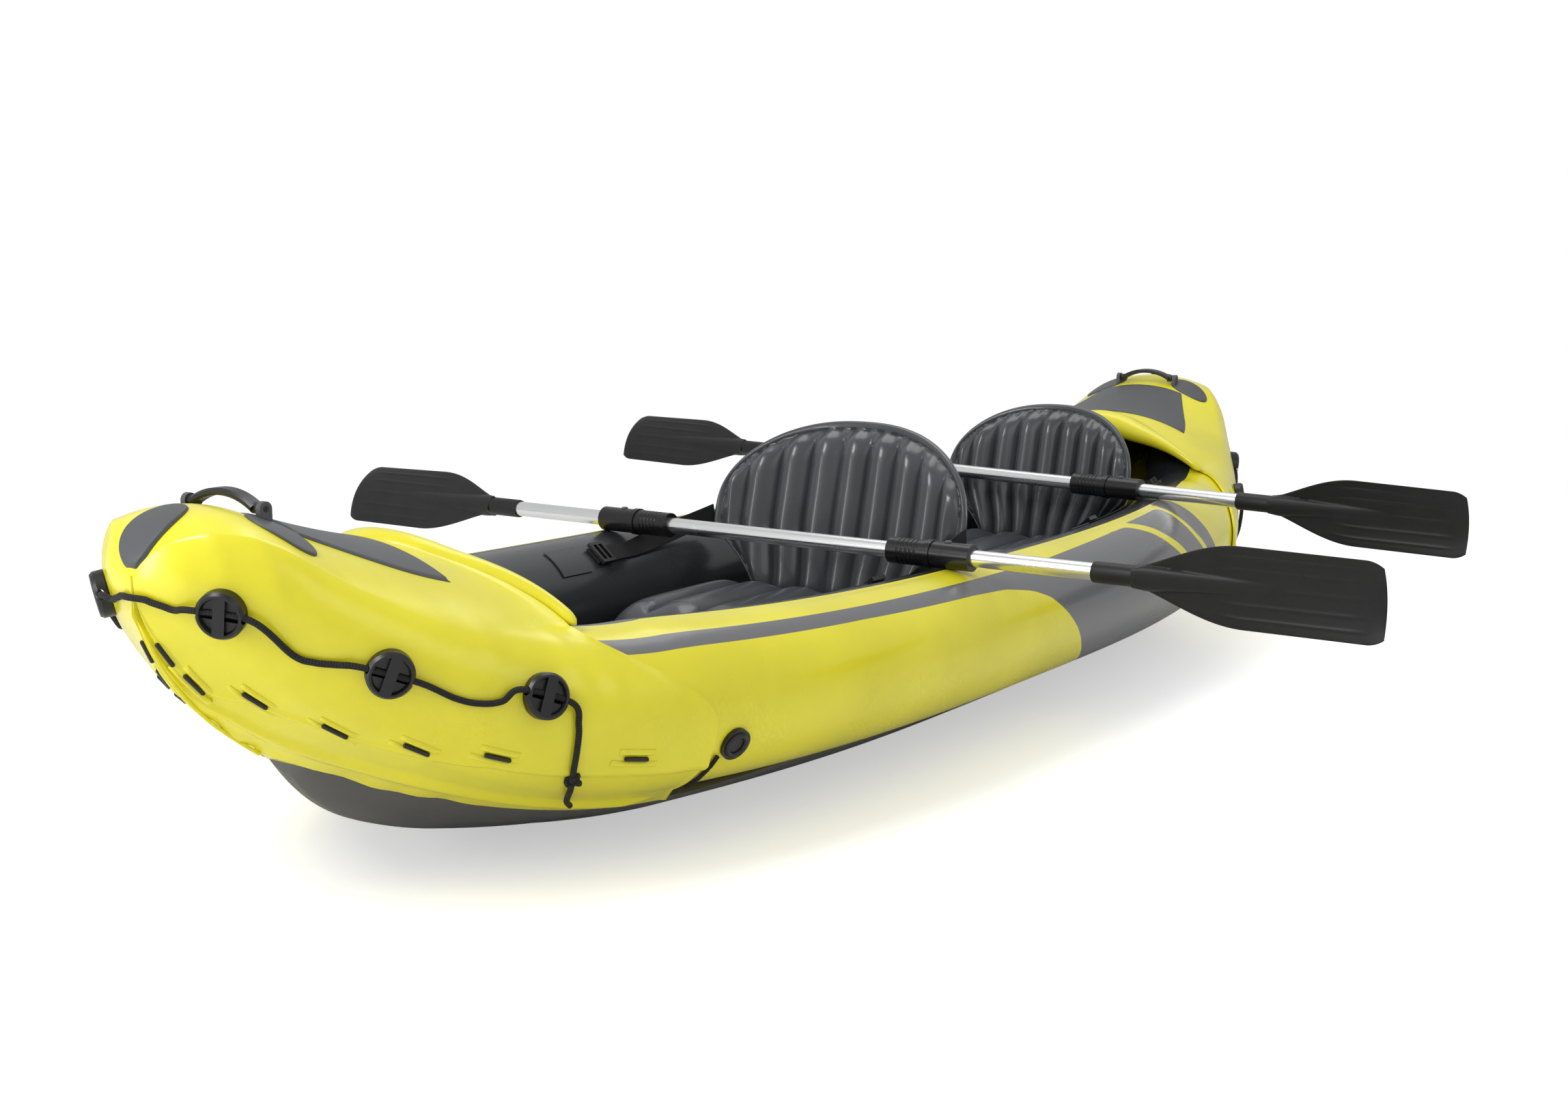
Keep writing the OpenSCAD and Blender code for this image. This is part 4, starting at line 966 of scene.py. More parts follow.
# On the cords and webbing the tint paints shade into the braid's grooves and light onto its crests.
CORD = Finish(
    "braided_cord", Kind.CORD, (0.012, 0.012, 0.013), "cord", roughness=0.75, bump=0.8, depth=0.0008,
    tint=0.35, pitch=7.0, strands=6.0)
WEBBING = Finish(
    "webbing", Kind.CORD, (0.014, 0.014, 0.015), "webbing", roughness=0.8, bump=0.7, depth=0.0006, tint=0.3,
    pitch=4.0, strands=18.0)
ALUMINIUM = Finish(
    "drawn_aluminium", Kind.METAL, (0.86, 0.865, 0.87), "shaft_metal", roughness=0.26, metallic=1.0,
    bump=0.05, depth=0.0003, tint=0.04)
LUG = Finish("grey_moulding", Kind.MOULDED, (0.09, 0.092, 0.1), "moulding", roughness=0.38, depth=0.0005)
ANCHOR = Finish(
    "anchor_vinyl", Kind.VINYL, (0.05, 0.053, 0.058), "patch_vinyl", roughness=0.4, bump=0.2, depth=0.002)
COUPLER = Finish(
    "coupler_plastic", Kind.MOULDED, (0.008, 0.008, 0.009), "moulding", roughness=0.25, depth=0.0004)
BLADE = Finish(
    "blade_plastic", Kind.MOULDED, (0.012, 0.012, 0.013), "blade_plastic", roughness=0.42, bump=0.14,
    depth=0.0006, specular=0.35, tint=0.22)


class Dresser:
    """Keeps one material a finish and puts finished pieces on their bodies."""

    def __init__(self) -> None:
        """Builds the shared effects."""
        self.effects = Effects()
        self.made: dict[str, bpy.types.Material] = {}

    def material(self, finish: Finish) -> bpy.types.Material:
        """The finish's material, made on first use.

        Args:
            finish: The finish.

        Returns:
            Its one material.
        """
        if finish.name not in self.made:
            self.made[finish.name] = finish.material(self.effects)
        return self.made[finish.name]

    def paint(self, piece: bpy.types.Object, finish: Finish) -> None:
        """Gives a piece one finish all over.

        Args:
            piece: The piece.
            finish: Its finish.
        """
        piece.data.materials.clear()
        piece.data.materials.append(self.material(finish))

    def dress(self, piece: bpy.types.Object, finish: Finish, body: str, *nodes: str) -> None:
        """Paints a new piece, rides it on a body and hides the nodes that it stands for.

        Args:
            piece: The new piece.
            finish: Its finish.
            body: Name of the body that it moves with.
            *nodes: Names of the solids that it replaces.
        """
        self.paint(piece, finish)
        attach(piece, body)
        if nodes:
            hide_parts(*nodes)
        LOG.info("%s rides on %s", piece.name, body)


@dataclass
class SideTubes:
    """The two side tubes, with their printed stripes and dark lining.

    The outlines of the print are stations with angles on the tube.
    """

    dresser: Dresser
    tube_tip: float = 1405.0
    stations: int = 300
    sides: int = 120
    lining_from: float = 89.0
    weld_height: float = 1.2
    weld_width: float = 1.6
    weld_reach: float = 3.0
    nose_spacing: float = 0.985
    ease_run: float = 200.0
    band_from: float = -600.0
    panel_from: float = -230.0
    band: Route = (
        (-700, 84), (-592, 79), (-400, 77), (-312, 71), (-160, 67.5), (-30, 64), (302, 64), (1003, 63),
        (1500, 60))
    panel: Route = (
        (-230, -100), (-160, -70), (-112, -45.5), (-78, -28), (-40, -7.5), (-2, 10.5), (40, 27.5), (86, 37.5),
        (158, 45.5), (252, 48), (534, 50), (844, 49), (1003, 48), (1500, 46))
    aft: Route = (
        (-980, -110), (-820, -60), (-770, -30), (-720, 7.5), (-704, 20), (-684, 41.5), (-676, 63.5),
        (-668, 120))
    arcs: tuple[Route, ...] = (
        ((-330, 77), (-382, 77), (-410, 70), (-450, 56), (-486, 38.5), (-518, 24), (-560, -2), (-600, -30)),
        ((-540, 84), (-586, 81), (-597, 70), (-602, 51.5), (-618, 32.5), (-640, 19.5), (-656, 8.5),
         (-700, -20)),
    )
    arc_halves: tuple[float, ...] = (11.0, 8.0)

    @property
    def welds(self) -> tuple[float, float]:
        """Angles of the two welds between the coloured sheet and the lining."""
        return self.lining_from, 360 - self.lining_from

    def angles(self) -> Array:
        """Angles round a tube, with extra ones at the two welds.

        Returns:
            The angles in order, in degrees.
        """
        even = np.arange(self.sides) / self.sides * 360
        near = np.concatenate([c + np.linspace(-self.weld_reach, self.weld_reach, 9) for c in self.welds])
        far = np.abs(even[:, None] - near).min(1) > 0.8
        return np.sort(np.concatenate([even[far], near]))

    def surface(self) -> tuple[Array, Array, Array]:
        """The port tube: a circle at each station, drawn in to its nose and bulged at the welds.

        Returns:
            Grid of points, and the station and angle of each.
        """
        quarter = np.pi / 2 * self.nose_spacing
        t = np.linspace(-1, 1, self.stations)
        x = self.tube_tip * np.sin(t * quarter) / math.sin(quarter) * 0.9995
        x, angle = np.meshgrid(x, self.angles(), indexing="ij")
        s = np.abs(x)
        f = LINES.rounding(s, self.tube_tip)
        weld = sum(bump((angle - c) / self.weld_width) for c in self.welds)
        ease = LINES.tube_ease * ramp((s - LINES.roll_s) / self.ease_run)
        r = (LINES.radius(s) - ease + self.weld_height * weld * (s < LINES.swept_s)) * f
        g = np.radians(angle)
        y = np.maximum(0.5, LINES.tube_yc(s) + r * np.cos(g))
        z = LINES.low(s, self.tube_tip) + LINES.radius(s) * f + r * np.sin(g)
        return np.stack([x, y, z], -1), x, angle

    def print_distance(self, x: Array, angle: Array) -> Array:
        """Signed distance to the printed grey, positive inside it, on the tube laid flat.

        Yellow is the top band, the long panel with its round end, the part past the aft line and two swept
        arcs; the rest is grey.

        Args:
            x: Station of each point.
            angle: Angle of each point, in degrees.

        Returns:
            The distance of each point.
        """
        scale = np.array([1.0, math.radians(1) * LINES.tube_r])
        turn = np.where(angle > 180, angle - 360, angle)
        flat = np.stack([x, turn], -1) * scale

        def past(line: Route, inside: Array) -> Array:
            """Distance from a line, below 0 where a point is outside."""
            away = band_distance(flat, np.array(line) * scale)
            return np.where(inside, away, -away)

        band_x, band_angle = np.array(self.band).T
        panel_x, panel_angle = np.array(self.panel).T
        aft_x, aft_angle = np.array(self.aft).T
        in_band = (turn > np.interp(x, band_x, band_angle)) & (x > self.band_from)
        in_panel = (turn < np.interp(x, panel_x, panel_angle)) & (x > self.panel_from)
        yellow = np.maximum(past(self.band, in_band), past(self.panel, in_panel))
        yellow = np.maximum(yellow, past(self.aft, x < np.interp(turn, aft_angle, aft_x)))
        for path, half in zip(self.arcs, self.arc_halves):
            corners = curve_through(np.array(path) * scale, 6)
            yellow = np.maximum(yellow, half - band_distance(flat, corners))
        return -yellow

    def build(self) -> None:
        """Makes both tubes."""
        points, x, angle = self.surface()
        arc = math.radians(1) * LINES.tube_r
        grey = self.print_distance(x, angle)
        lining = np.minimum(angle - self.welds[0], self.welds[1] - angle) * arc
        for side in Side:
            skin = Surface().loft(mirrored(points, side=side), print=grey, lining=lining)
            piece = skin.build(f"{side.label}_side_tube")
            self.dresser.dress(piece, HULL_VINYL, "hull", f"{side.label}_tube")


@dataclass
class FloorChamber:
    """The floor: lengthways air beams above, a flat sole with round bilges below."""

    dresser: Dresser
    floor_end: float = 1241.0
    floor_h: float = 112.0
    channel: float = 12.0
    beams: int = 5
    keel_w: float = 200.0
    keel_draw: float = 240.0
    keel_least: float = 8.0
    rocker: float = 0.00066
    floor_gap: float = 1.0
    tuck: float = 10.0
    end_round: float = 110.0
    bilge_bend: tuple[float, float] = (0.60, 0.36)
    unlined: float = -9.0
    lined: float = 9.0
    stations: int = 150
    keel_steps: int = 8
    bilge_steps: int = 14
    side_steps: int = 14
    sole_steps: int = 60

    def bilge_top(self, s: Array) -> tuple[Array, Array]:
        """Upper end of the bilge: below the tube amidships, then along the cover's rim.

        Args:
            s: Distance from amidships.

        Returns:
            Half-width and height.
        """
        q = s / LINES.rim_s
        y0 = LINES.tube_yc(s) + LINES.rim_out * q * q - self.tuck * (1 - q)
        z0 = LINES.low0(s) - self.floor_gap - (LINES.rim_drop - self.floor_gap) * q**4
        inside = s < LINES.rim_s
        y = np.where(inside, y0, LINES.rim_y(s) - self.floor_gap)
        return y, np.where(inside, z0, LINES.low0(s) - LINES.rim_fall(s))

    def keel_line(self, s: Array) -> Array:
        """Rocker of the underside, by the square of the distance past the rim's start."""
        return self.rocker * np.maximum(0, s - LINES.rim_s) ** 2

    def top(self, s: Array) -> Array:
        """Crest of the air beams."""
        thin = 1 - 0.5 * ramp((s - LINES.rim_s) / (self.floor_end - LINES.rim_s))
        return np.maximum(self.keel_line(s) + self.floor_h * thin, self.bilge_top(s)[1] + self.channel + 4)

    def outline(self, x: Array) -> tuple[Array, Array]:
        """Port half of each section, from the keel round the bilge and under the tube to the sole's middle.

        The bilge is a quadratic curve, the side an arc round the tube, and an air beam is |sin| across.

        Args:
            x: Stations along the hull.

        Returns:
            Grid of points and the signed distance of each into the lined inside.
        """
        s = np.abs(x)[:, None]
        ay, az = self.bilge_top(s)
        near_end = ramp((s - self.floor_end + self.end_round) / self.end_round)
        turned = 1 - np.sqrt(1 - (0.97 * near_end) ** 2)
        ky = np.maximum(self.keel_least, self.keel_w - self.keel_draw * (s / 1000) ** 2.5)
        kz = mix(self.keel_line(s), az - 4, turned)
        ny, nz = mix(ky, ay, self.bilge_bend[0]), mix(kz, az, self.bilge_bend[1])
        t = np.linspace(0, 1, self.bilge_steps)[None]
        k = np.linspace(0, 1, self.keel_steps)[None, :-1]
        flat_y, flat_z = ky * k, kz + 0 * k
        bilge_y = (1 - t) ** 2 * ky + 2 * t * (1 - t) * ny + t * t * ay
        bilge_z = (1 - t) ** 2 * kz + 2 * t * (1 - t) * nz + t * t * az
        r = LINES.radius(s) + self.floor_gap
        cy, cz = LINES.tube_yc(s), LINES.low0(s) + LINES.radius(s)
        edge_z = self.top(s) - self.channel
        stop = -180 + np.degrees(np.arcsin(np.minimum(1, (cz - edge_z) / r)))
        u = np.linspace(0, 1, self.side_steps)[None]
        g = np.radians(mix(-97, np.minimum(stop, -99), u))
        side_y = np.minimum(ay, cy + r * np.cos(g))
        side_z = np.minimum(edge_z - 1 + u, cz + r * np.sin(g))
        p = 1 - np.linspace(0, 1, self.sole_steps)[None, 1:]
        drop = self.channel * (1 - np.abs(np.sin(self.beams * np.pi / 2 * (p + 1))))
        sole_y, sole_z = side_y[:, -1:] * p, self.top(s) - drop
        y = np.hstack([flat_y, bilge_y, side_y, sole_y])
        z = np.hstack([flat_z, bilge_z, side_z, sole_z])
        below = flat_y.shape[1] + bilge_y.shape[1]
        lined = np.where(np.arange(y.shape[1]) < below, self.unlined, self.lined)
        return np.stack([np.broadcast_to(x[:, None], y.shape), y, z], -1), np.broadcast_to(lined, y.shape)

    def build(self) -> None:
        """Makes the chamber from its two halves."""
        half, lined = self.outline(eased(-self.floor_end, self.floor_end, self.stations))
        ring = np.hstack([half, mirrored(half, side=Side.STARBOARD)[:, -2:0:-1]])
        values = np.hstack([lined, lined[:, -2:0:-1]])
        skin = Surface().grid(ring, wrap_columns=True, lining=values)
        for row in (0, -1):
            skin.cap(ring[row], lining=np.full(ring.shape[1], self.unlined))
        self.dresser.dress(skin.build("floor_chamber_skin"), SOLE_VINYL, "hull", "floor_chamber")


@dataclass
class EndCovers:
    """The covers over both ends, with their splash rolls, patches, panels and lacing slots.

    A slot is a distance from the tip and a place on the section. A pucker is a distance from the tip, a
    column, its half-widths along and across, and its height.
    """

    dresser: Dresser
    rows: int = 90
    deck_columns: int = 26
    side_columns: int = 48
    skirt_columns: int = 30
    lace_gap: float = 0.1
    lace_step: float = 3.4
    lace_lip: float = 3.6
    hem_at: float = 2.62
    hem_height: float = 7.5
    hem_width: float = 0.1
    edge_bead: float = 2.2
    ruffle: float = 2.0
    roll_r: float = 28.0
    patch_o: float = 6.0
    patch_t: float = 3.2
    handle_s: float = 1314.0
    lug_y: float = 69.5
    nose_turn: float = 49.0
    nose_half_l: float = 52.0
    nose_half_w: float = 34.0
    stem_bead: float = 2.6
    web_start: float = 1233.0
    web_t: float = 2.5
    lip_at: float = 1.965
    lip_width: float = 0.035
    foot_from: float = 2.62
    foot_start: float = 1020.0
    foot_run: float = 120.0
    roll_end_r: float = 8.0
    roll_sink: float = 6.0
    roll_bow: float = 12.0
    patch_sink: float = 0.4
    panel_aft: float = 55.0
    panel_fore: float = 162.0
    panel_halves: tuple[float, float] = (0.66, 0.50)
    lug_patch_ahead: float = 6.0
    lug_patch_r: float = 28.0
    lug_patch_drop: float = 0.21
    lug_patch_half: float = 0.27
    slot_lip_h: float = 3.6
    slot_lip_out: float = 8.5
    slot_lip_half: float = 4.5
    slot_lip_sink: float = 2.5
    slot_lip_lengths: tuple[tuple[int, float], ...] = ((1, 34), (-1, 26))
    puckers: tuple[tuple[float, float, float, float, float], ...] = (
        (16, 1.22, 7, 0.20, 2.0), (40, 1.20, 8, 0.24, 2.2), (78, 1.16, 9, 0.18, 1.6),
        (120, 1.80, 11, 0.16, 1.6), (256, 1.62, 11, 0.20, 2.4), (300, 1.10, 14, 0.16, 1.6),
        (398, 1.30, 12, 0.22, 2.6), (440, 1.46, 12, 0.16, 1.8))
    slots: Route = ((59, 2.68), (100, 2.27), (167, 2.08), (231, 1.89), (305, 1.75), (466, 1.69))

    def columns(self) -> Array:
        """Columns of the sheet: 0 to 1 over the deck, to 2 at the laced edge, to 3 at the skirt's foot.

        Returns:
            The columns from the starboard foot to the port one.
        """
        deck = np.arange(self.deck_columns) / self.deck_columns
        broad = np.linspace(0, 0.9, self.side_columns, endpoint=False)
        side = 1 + np.append(broad, np.linspace(0.9, 0.995, 12))
        skirt = 2 + np.append([0, 0.006, 0.018], np.linspace(0.04, 1, self.skirt_columns))
        half = np.concatenate([deck, side, skirt])
        return np.concatenate([-half[:0:-1], half])

    def across(self, q: Array, s: Array) -> Array:
        """Places across the section for the sheet's columns, with column 2 just under the lacing slots.

        Args:
            q: Column of each point.
            s: Distance of each point from amidships.

        Returns:
            The place of each point on the section.
        """
        tail, a = np.array(self.slots).T
        lace = np.interp(LINES.tip - s, tail, a) + self.lace_gap
        b = np.abs(q)
        side = np.where(b < 1, b, mix(1, lace, b - 1))
        return np.sign(q) * np.where(b < 2, side, mix(lace, 3, b - 2))

    def offset(self, s: Array, q: Array, v: Array) -> Array:
        """Height of the sheet over the tubes: lip, hem and edge beads, puckers, and ruffles along the foot.

        Beads are bells across the sheet, puckers are bells both ways, and the ruffles are two sines.

        Args:
            s: Distance of each point from amidships.
            q: Column of each point.
            v: Share of the way to the nose.

        Returns:
            The heights.
        """
        b = np.abs(q)
        tail, at, wide, long, high = (np.array(row)[:, None, None] for row in zip(*self.puckers))
        fold = (high * np.exp(-(((LINES.tip - s - tail) / wide) ** 2) - ((b - at) / long) ** 2)).sum(0)
        lip = self.lace_lip * bump((b - self.lip_at) / self.lip_width) * smooth((1 - v) / 0.02)
        hem = self.hem_height * bump((b - self.hem_at) / self.hem_width) * smooth((v - 0.02) / 0.1)
        edge = self.edge_bead * bump(v / 0.012)
        wave = np.sin(s / 13.0 + 1.3 * np.sin(s / 41.0)) + 0.6 * np.sin(s / 7.3 + q)
        low = smooth((b - self.foot_from) / (3 - self.foot_from))
        foot = self.ruffle * wave * low * smooth((s - self.foot_start) / self.foot_run)
        return fold + lip + hem + edge + foot

    def grid(self, base: float, raised: bool) -> Array:
        """Grid of a cover's face.

        Args:
            base: Offset of the face from the tubes.
            raised: Whether the face has the beads and ruffles.

        Returns:
            Grid of points, from the free edge to the nose.
        """
        v = np.sin(np.linspace(0, 1, self.rows) * np.pi / 2)[:, None] * 0.9999
        q = self.columns()[None]
        end = LINES.tip - LINES.cover_o + base
        a = self.across(q, mix(LINES.cover_edge(q), end, v))
        s = mix(LINES.cover_edge(a), end, v)
        lift = self.offset(s, q, v)
        under = self.lace_step * ramp((np.abs(q) - 2) / 0.006) * smooth((1 - v) / 0.02)
        return LINES.end_point(s, a, base + (lift - under if raised else np.minimum(lift, 0)))

    def cover(self, end: End) -> None:
        """Makes one cover, with the bead along its stem and the web below.

        Args:
            end: The end that it is for.
        """
        outer = self.grid(LINES.cover_o, True)
        inner = self.grid(LINES.cover_gap, False)
        sheet = Surface().sheet(mirrored(outer, end), mirrored(inner, end)).cap(mirrored(outer[-1], end))
        s = mix(LINES.stem_s, LINES.tip, np.sin(np.linspace(0, 0.99, 70) * np.pi / 2))
        stem = LINES.end_point(s, 3.0, LINES.cover_o - 0.5) * np.array([1, 0, 1])
        sheet.tube(mirrored(stem, end), np.tile([0.0, 1, 0], (len(s), 1)), self.stem_bead, 12)
        self.web(sheet, end)
        piece = sheet.build(f"{end.label}_end_cover", crease=40)
        self.dresser.dress(piece, COVER_VINYL, "hull", f"{end.label}_cover")

    def web(self, sheet: Surface, end: End) -> None:
        """Closes the cover below, between its two rims from the floor's tip to where they meet.

        Each row runs straight from rim to rim.

        Args:
            sheet: The cover's surface, which the web is added to.
            end: The end that it is for.
        """
        s = np.linspace(self.web_start, LINES.stem_s + 6, 24)[:, None]
        p = np.linspace(-1, 1, 25)[None]
        rim = LINES.end_point(s, 3.0, LINES.cover_gap)
        under = rim * np.stack([np.ones_like(p), p, np.ones_like(p)], -1)
        sheet.sheet(mirrored(under, end), mirrored(under + np.array([0, 0, self.web_t]), end))

    def roll(self, end: End) -> None:
        """Makes a splash roll: a round tube that butts on the deck's free edge and thins to its ends.

        Args:
            end: The end that it is for.
        """
        a = np.linspace(-1, 1, 121)
        b = np.abs(a)
        r = mix(self.roll_r, self.roll_end_r, smooth(b))
        o = mix(-self.roll_sink, r + 1, smooth((b - 0.3) / 0.7))
        path = LINES.end_point(LINES.cover_edge(a) - r - 1 - self.roll_bow * b * (1 - b), a, o)
        closing = np.sqrt(np.maximum(0.02, 1 - ramp((b - 0.93) / 0.07) ** 2))
        tube = Surface().tube(mirrored(path, end), np.tile([1.0, 0, 0], (len(a), 1)), r * closing, 40)
        piece = tube.build(f"{end.label}_roll")
        self.dresser.dress(piece, COVER_VINYL, "hull", f"{end.label}_splash_roll")

    @staticmethod
    def oval(flat: float, rings: int, sides: int) -> tuple[Array, Array, Array]:
        """Rings of an oval patch with a rounded edge.

        Args:
            flat: Share of the radius where the edge starts to round off.
            rings: Rings on the flat part.
            sides: Points in a ring.

        Returns:
            Share of the radius and height of each ring, as columns, and the angles round it, as a row.
        """
        rounded = flat + (1 - flat) * np.sin(np.linspace(0.1, 1, 8) * np.pi / 2)
        t = np.append(np.linspace(0.02, flat, rings), rounded)[:, None]
        height = np.sqrt(np.maximum(0, 1 - ramp((t - flat) / (1 - flat)) ** 2))
        return t, height, np.linspace(0, 2 * np.pi, sides + 1)[None, :-1]

    def nose_patch(self, end: End) -> None:
        """Makes the long oval over the nose: it runs along the nose's curve, and is level across.

        The deck's half-width is f a - (f - 1) a^2 of the shoulder's, which is solved for a.

        Args:
            end: The end that it is for.
        """
        turns = np.radians(np.linspace(0, 89, 240))
        line = LINES.end_point(LINES.nose_s + (LINES.tip - LINES.nose_s) * np.sin(turns), 0, self.patch_o)
        run = run_along(line)
        middle = np.interp(math.radians(self.nose_turn), turns, run)
        t, height, g = self.oval(0.94, 16, 72)

        def at(o: Array) -> Array:
            """Points of the oval on the end of the hull.

            Args:
                o: Offset of each point from the tubes.

            Returns:
                The grid of points.
            """
            turn = np.interp(middle + self.nose_half_l * t * np.cos(g), run, turns)
            tip = LINES.tip - LINES.cover_o + o
            s = LINES.nose_s + (tip - LINES.nose_s) * np.sin(turn)
            y = self.nose_half_w * t * np.sin(g)
            share = np.minimum(np.abs(y) / LINES.section(s, np.ones_like(s), o)[0], 1)
            f = 2 * LINES.deck_fullness
            a = (f - np.sqrt(f * f - 4 * (f - 1) * share)) / (2 * (f - 1))
            return mirrored(LINES.end_point(s, np.sign(y) * a, o), end)

        top = self.patch_o + self.patch_t * height - self.patch_sink * (1 - height)
        foot = np.full_like(t * g, self.patch_o - self.patch_sink)
        piece = Surface().disc(at(top), at(foot)).build(f"{end.label}_nose_oval", crease=50)
        self.dresser.dress(piece, PATCH_VINYL, "hull", f"{end.label}_nose_patch")

    def deck_panel(self, end: End) -> None:
        """Makes the panel on the deck, a sheet that narrows to the nose and has a quarter round for its edge.

        Args:
            end: The end that it is for.
        """
        v = np.linspace(0, 1, 60)[:, None]
        p = np.linspace(-1, 1, 61)[None]
        s = mix(LINES.roll_s + self.panel_aft, LINES.tip - self.panel_fore, v) + 0 * p
        edge = np.minimum(ramp((1 - np.abs(p)) / 0.03), ramp(np.minimum(v, 1 - v) / 0.02))
        top = self.patch_o + self.patch_t * np.sqrt(1 - (1 - edge) ** 2)
        a = mix(*self.panel_halves, v) * p
        outer = LINES.end_point(s, a, top)
        inner = LINES.end_point(s, a, np.full_like(top, self.patch_o - self.patch_sink))
        sheet = Surface().sheet(mirrored(outer, end), mirrored(inner, end))
        piece = sheet.build(f"{end.label}_panel", crease=50)
        self.dresser.dress(piece, PATCH_VINYL, "hull", f"{end.label}_deck_panel")

    def handle_ovals(self) -> None:
        """Makes the four round patches under the handles' lugs, each a circle laid on the section."""
        t, height, g = self.oval(0.9, 10, 64)
        s = self.handle_s + self.lug_patch_ahead + self.lug_patch_r * t * np.cos(g)
        places = np.linspace(0, 1.4, 400)
        widths, _ = LINES.section(np.float64(self.handle_s), places, self.patch_o)
        middle = np.interp(self.lug_y, widths, places) + self.lug_patch_drop
        a = middle + self.lug_patch_half * t * np.sin(g)
        top = LINES.end_point(s, a, self.patch_o + self.patch_t * height)
        foot = LINES.end_point(s, a, self.patch_o - self.patch_sink)
        sheet = Surface()
        for quarter in product(End, Side):
            sheet.disc(mirrored(top, *quarter), mirrored(foot, *quarter))
        self.dresser.dress(sheet.build("handle_ovals", crease=50), PATCH_VINYL, "hull", "handle_patches")

    def slot_lips(self) -> None:
        """Makes the raised lips beside each lacing slot, h (1 - t^4)(1 - w^2) high."""
        t = np.linspace(-1, 1, 25)[:, None]
        w = np.linspace(-1, 1, 11)[None]
        lips = Surface()
        for tail, a0 in self.slots:
            u, across, n = LINES.end_axes(np.float64(LINES.tip - tail), np.float64(a0))
            middle = LINES.end_point(LINES.tip - tail, a0, LINES.cover_o)
            for way, long in self.slot_lip_lengths:
                out = way * self.slot_lip_out + self.slot_lip_half * w
                flat = middle + long * t[..., None] * u + out[..., None] * across
                rise = self.slot_lip_h * (1 - t**4) * (1 - w**2)
                outer = flat + (rise[..., None] + 0.3) * n
                inner = flat - self.slot_lip_sink * n + 0 * rise[..., None]
                for quarter in product(End, Side):
                    lips.sheet(mirrored(outer, *quarter), mirrored(inner, *quarter))
        self.dresser.dress(lips.build("slot_lips", crease=50), COVER_VINYL, "hull")

    def build(self) -> None:
        """Makes everything at both ends."""
        for end in End:
            self.cover(end)
            self.roll(end)
            self.nose_patch(end)
            self.deck_panel(end)
        self.handle_ovals()
        self.slot_lips()


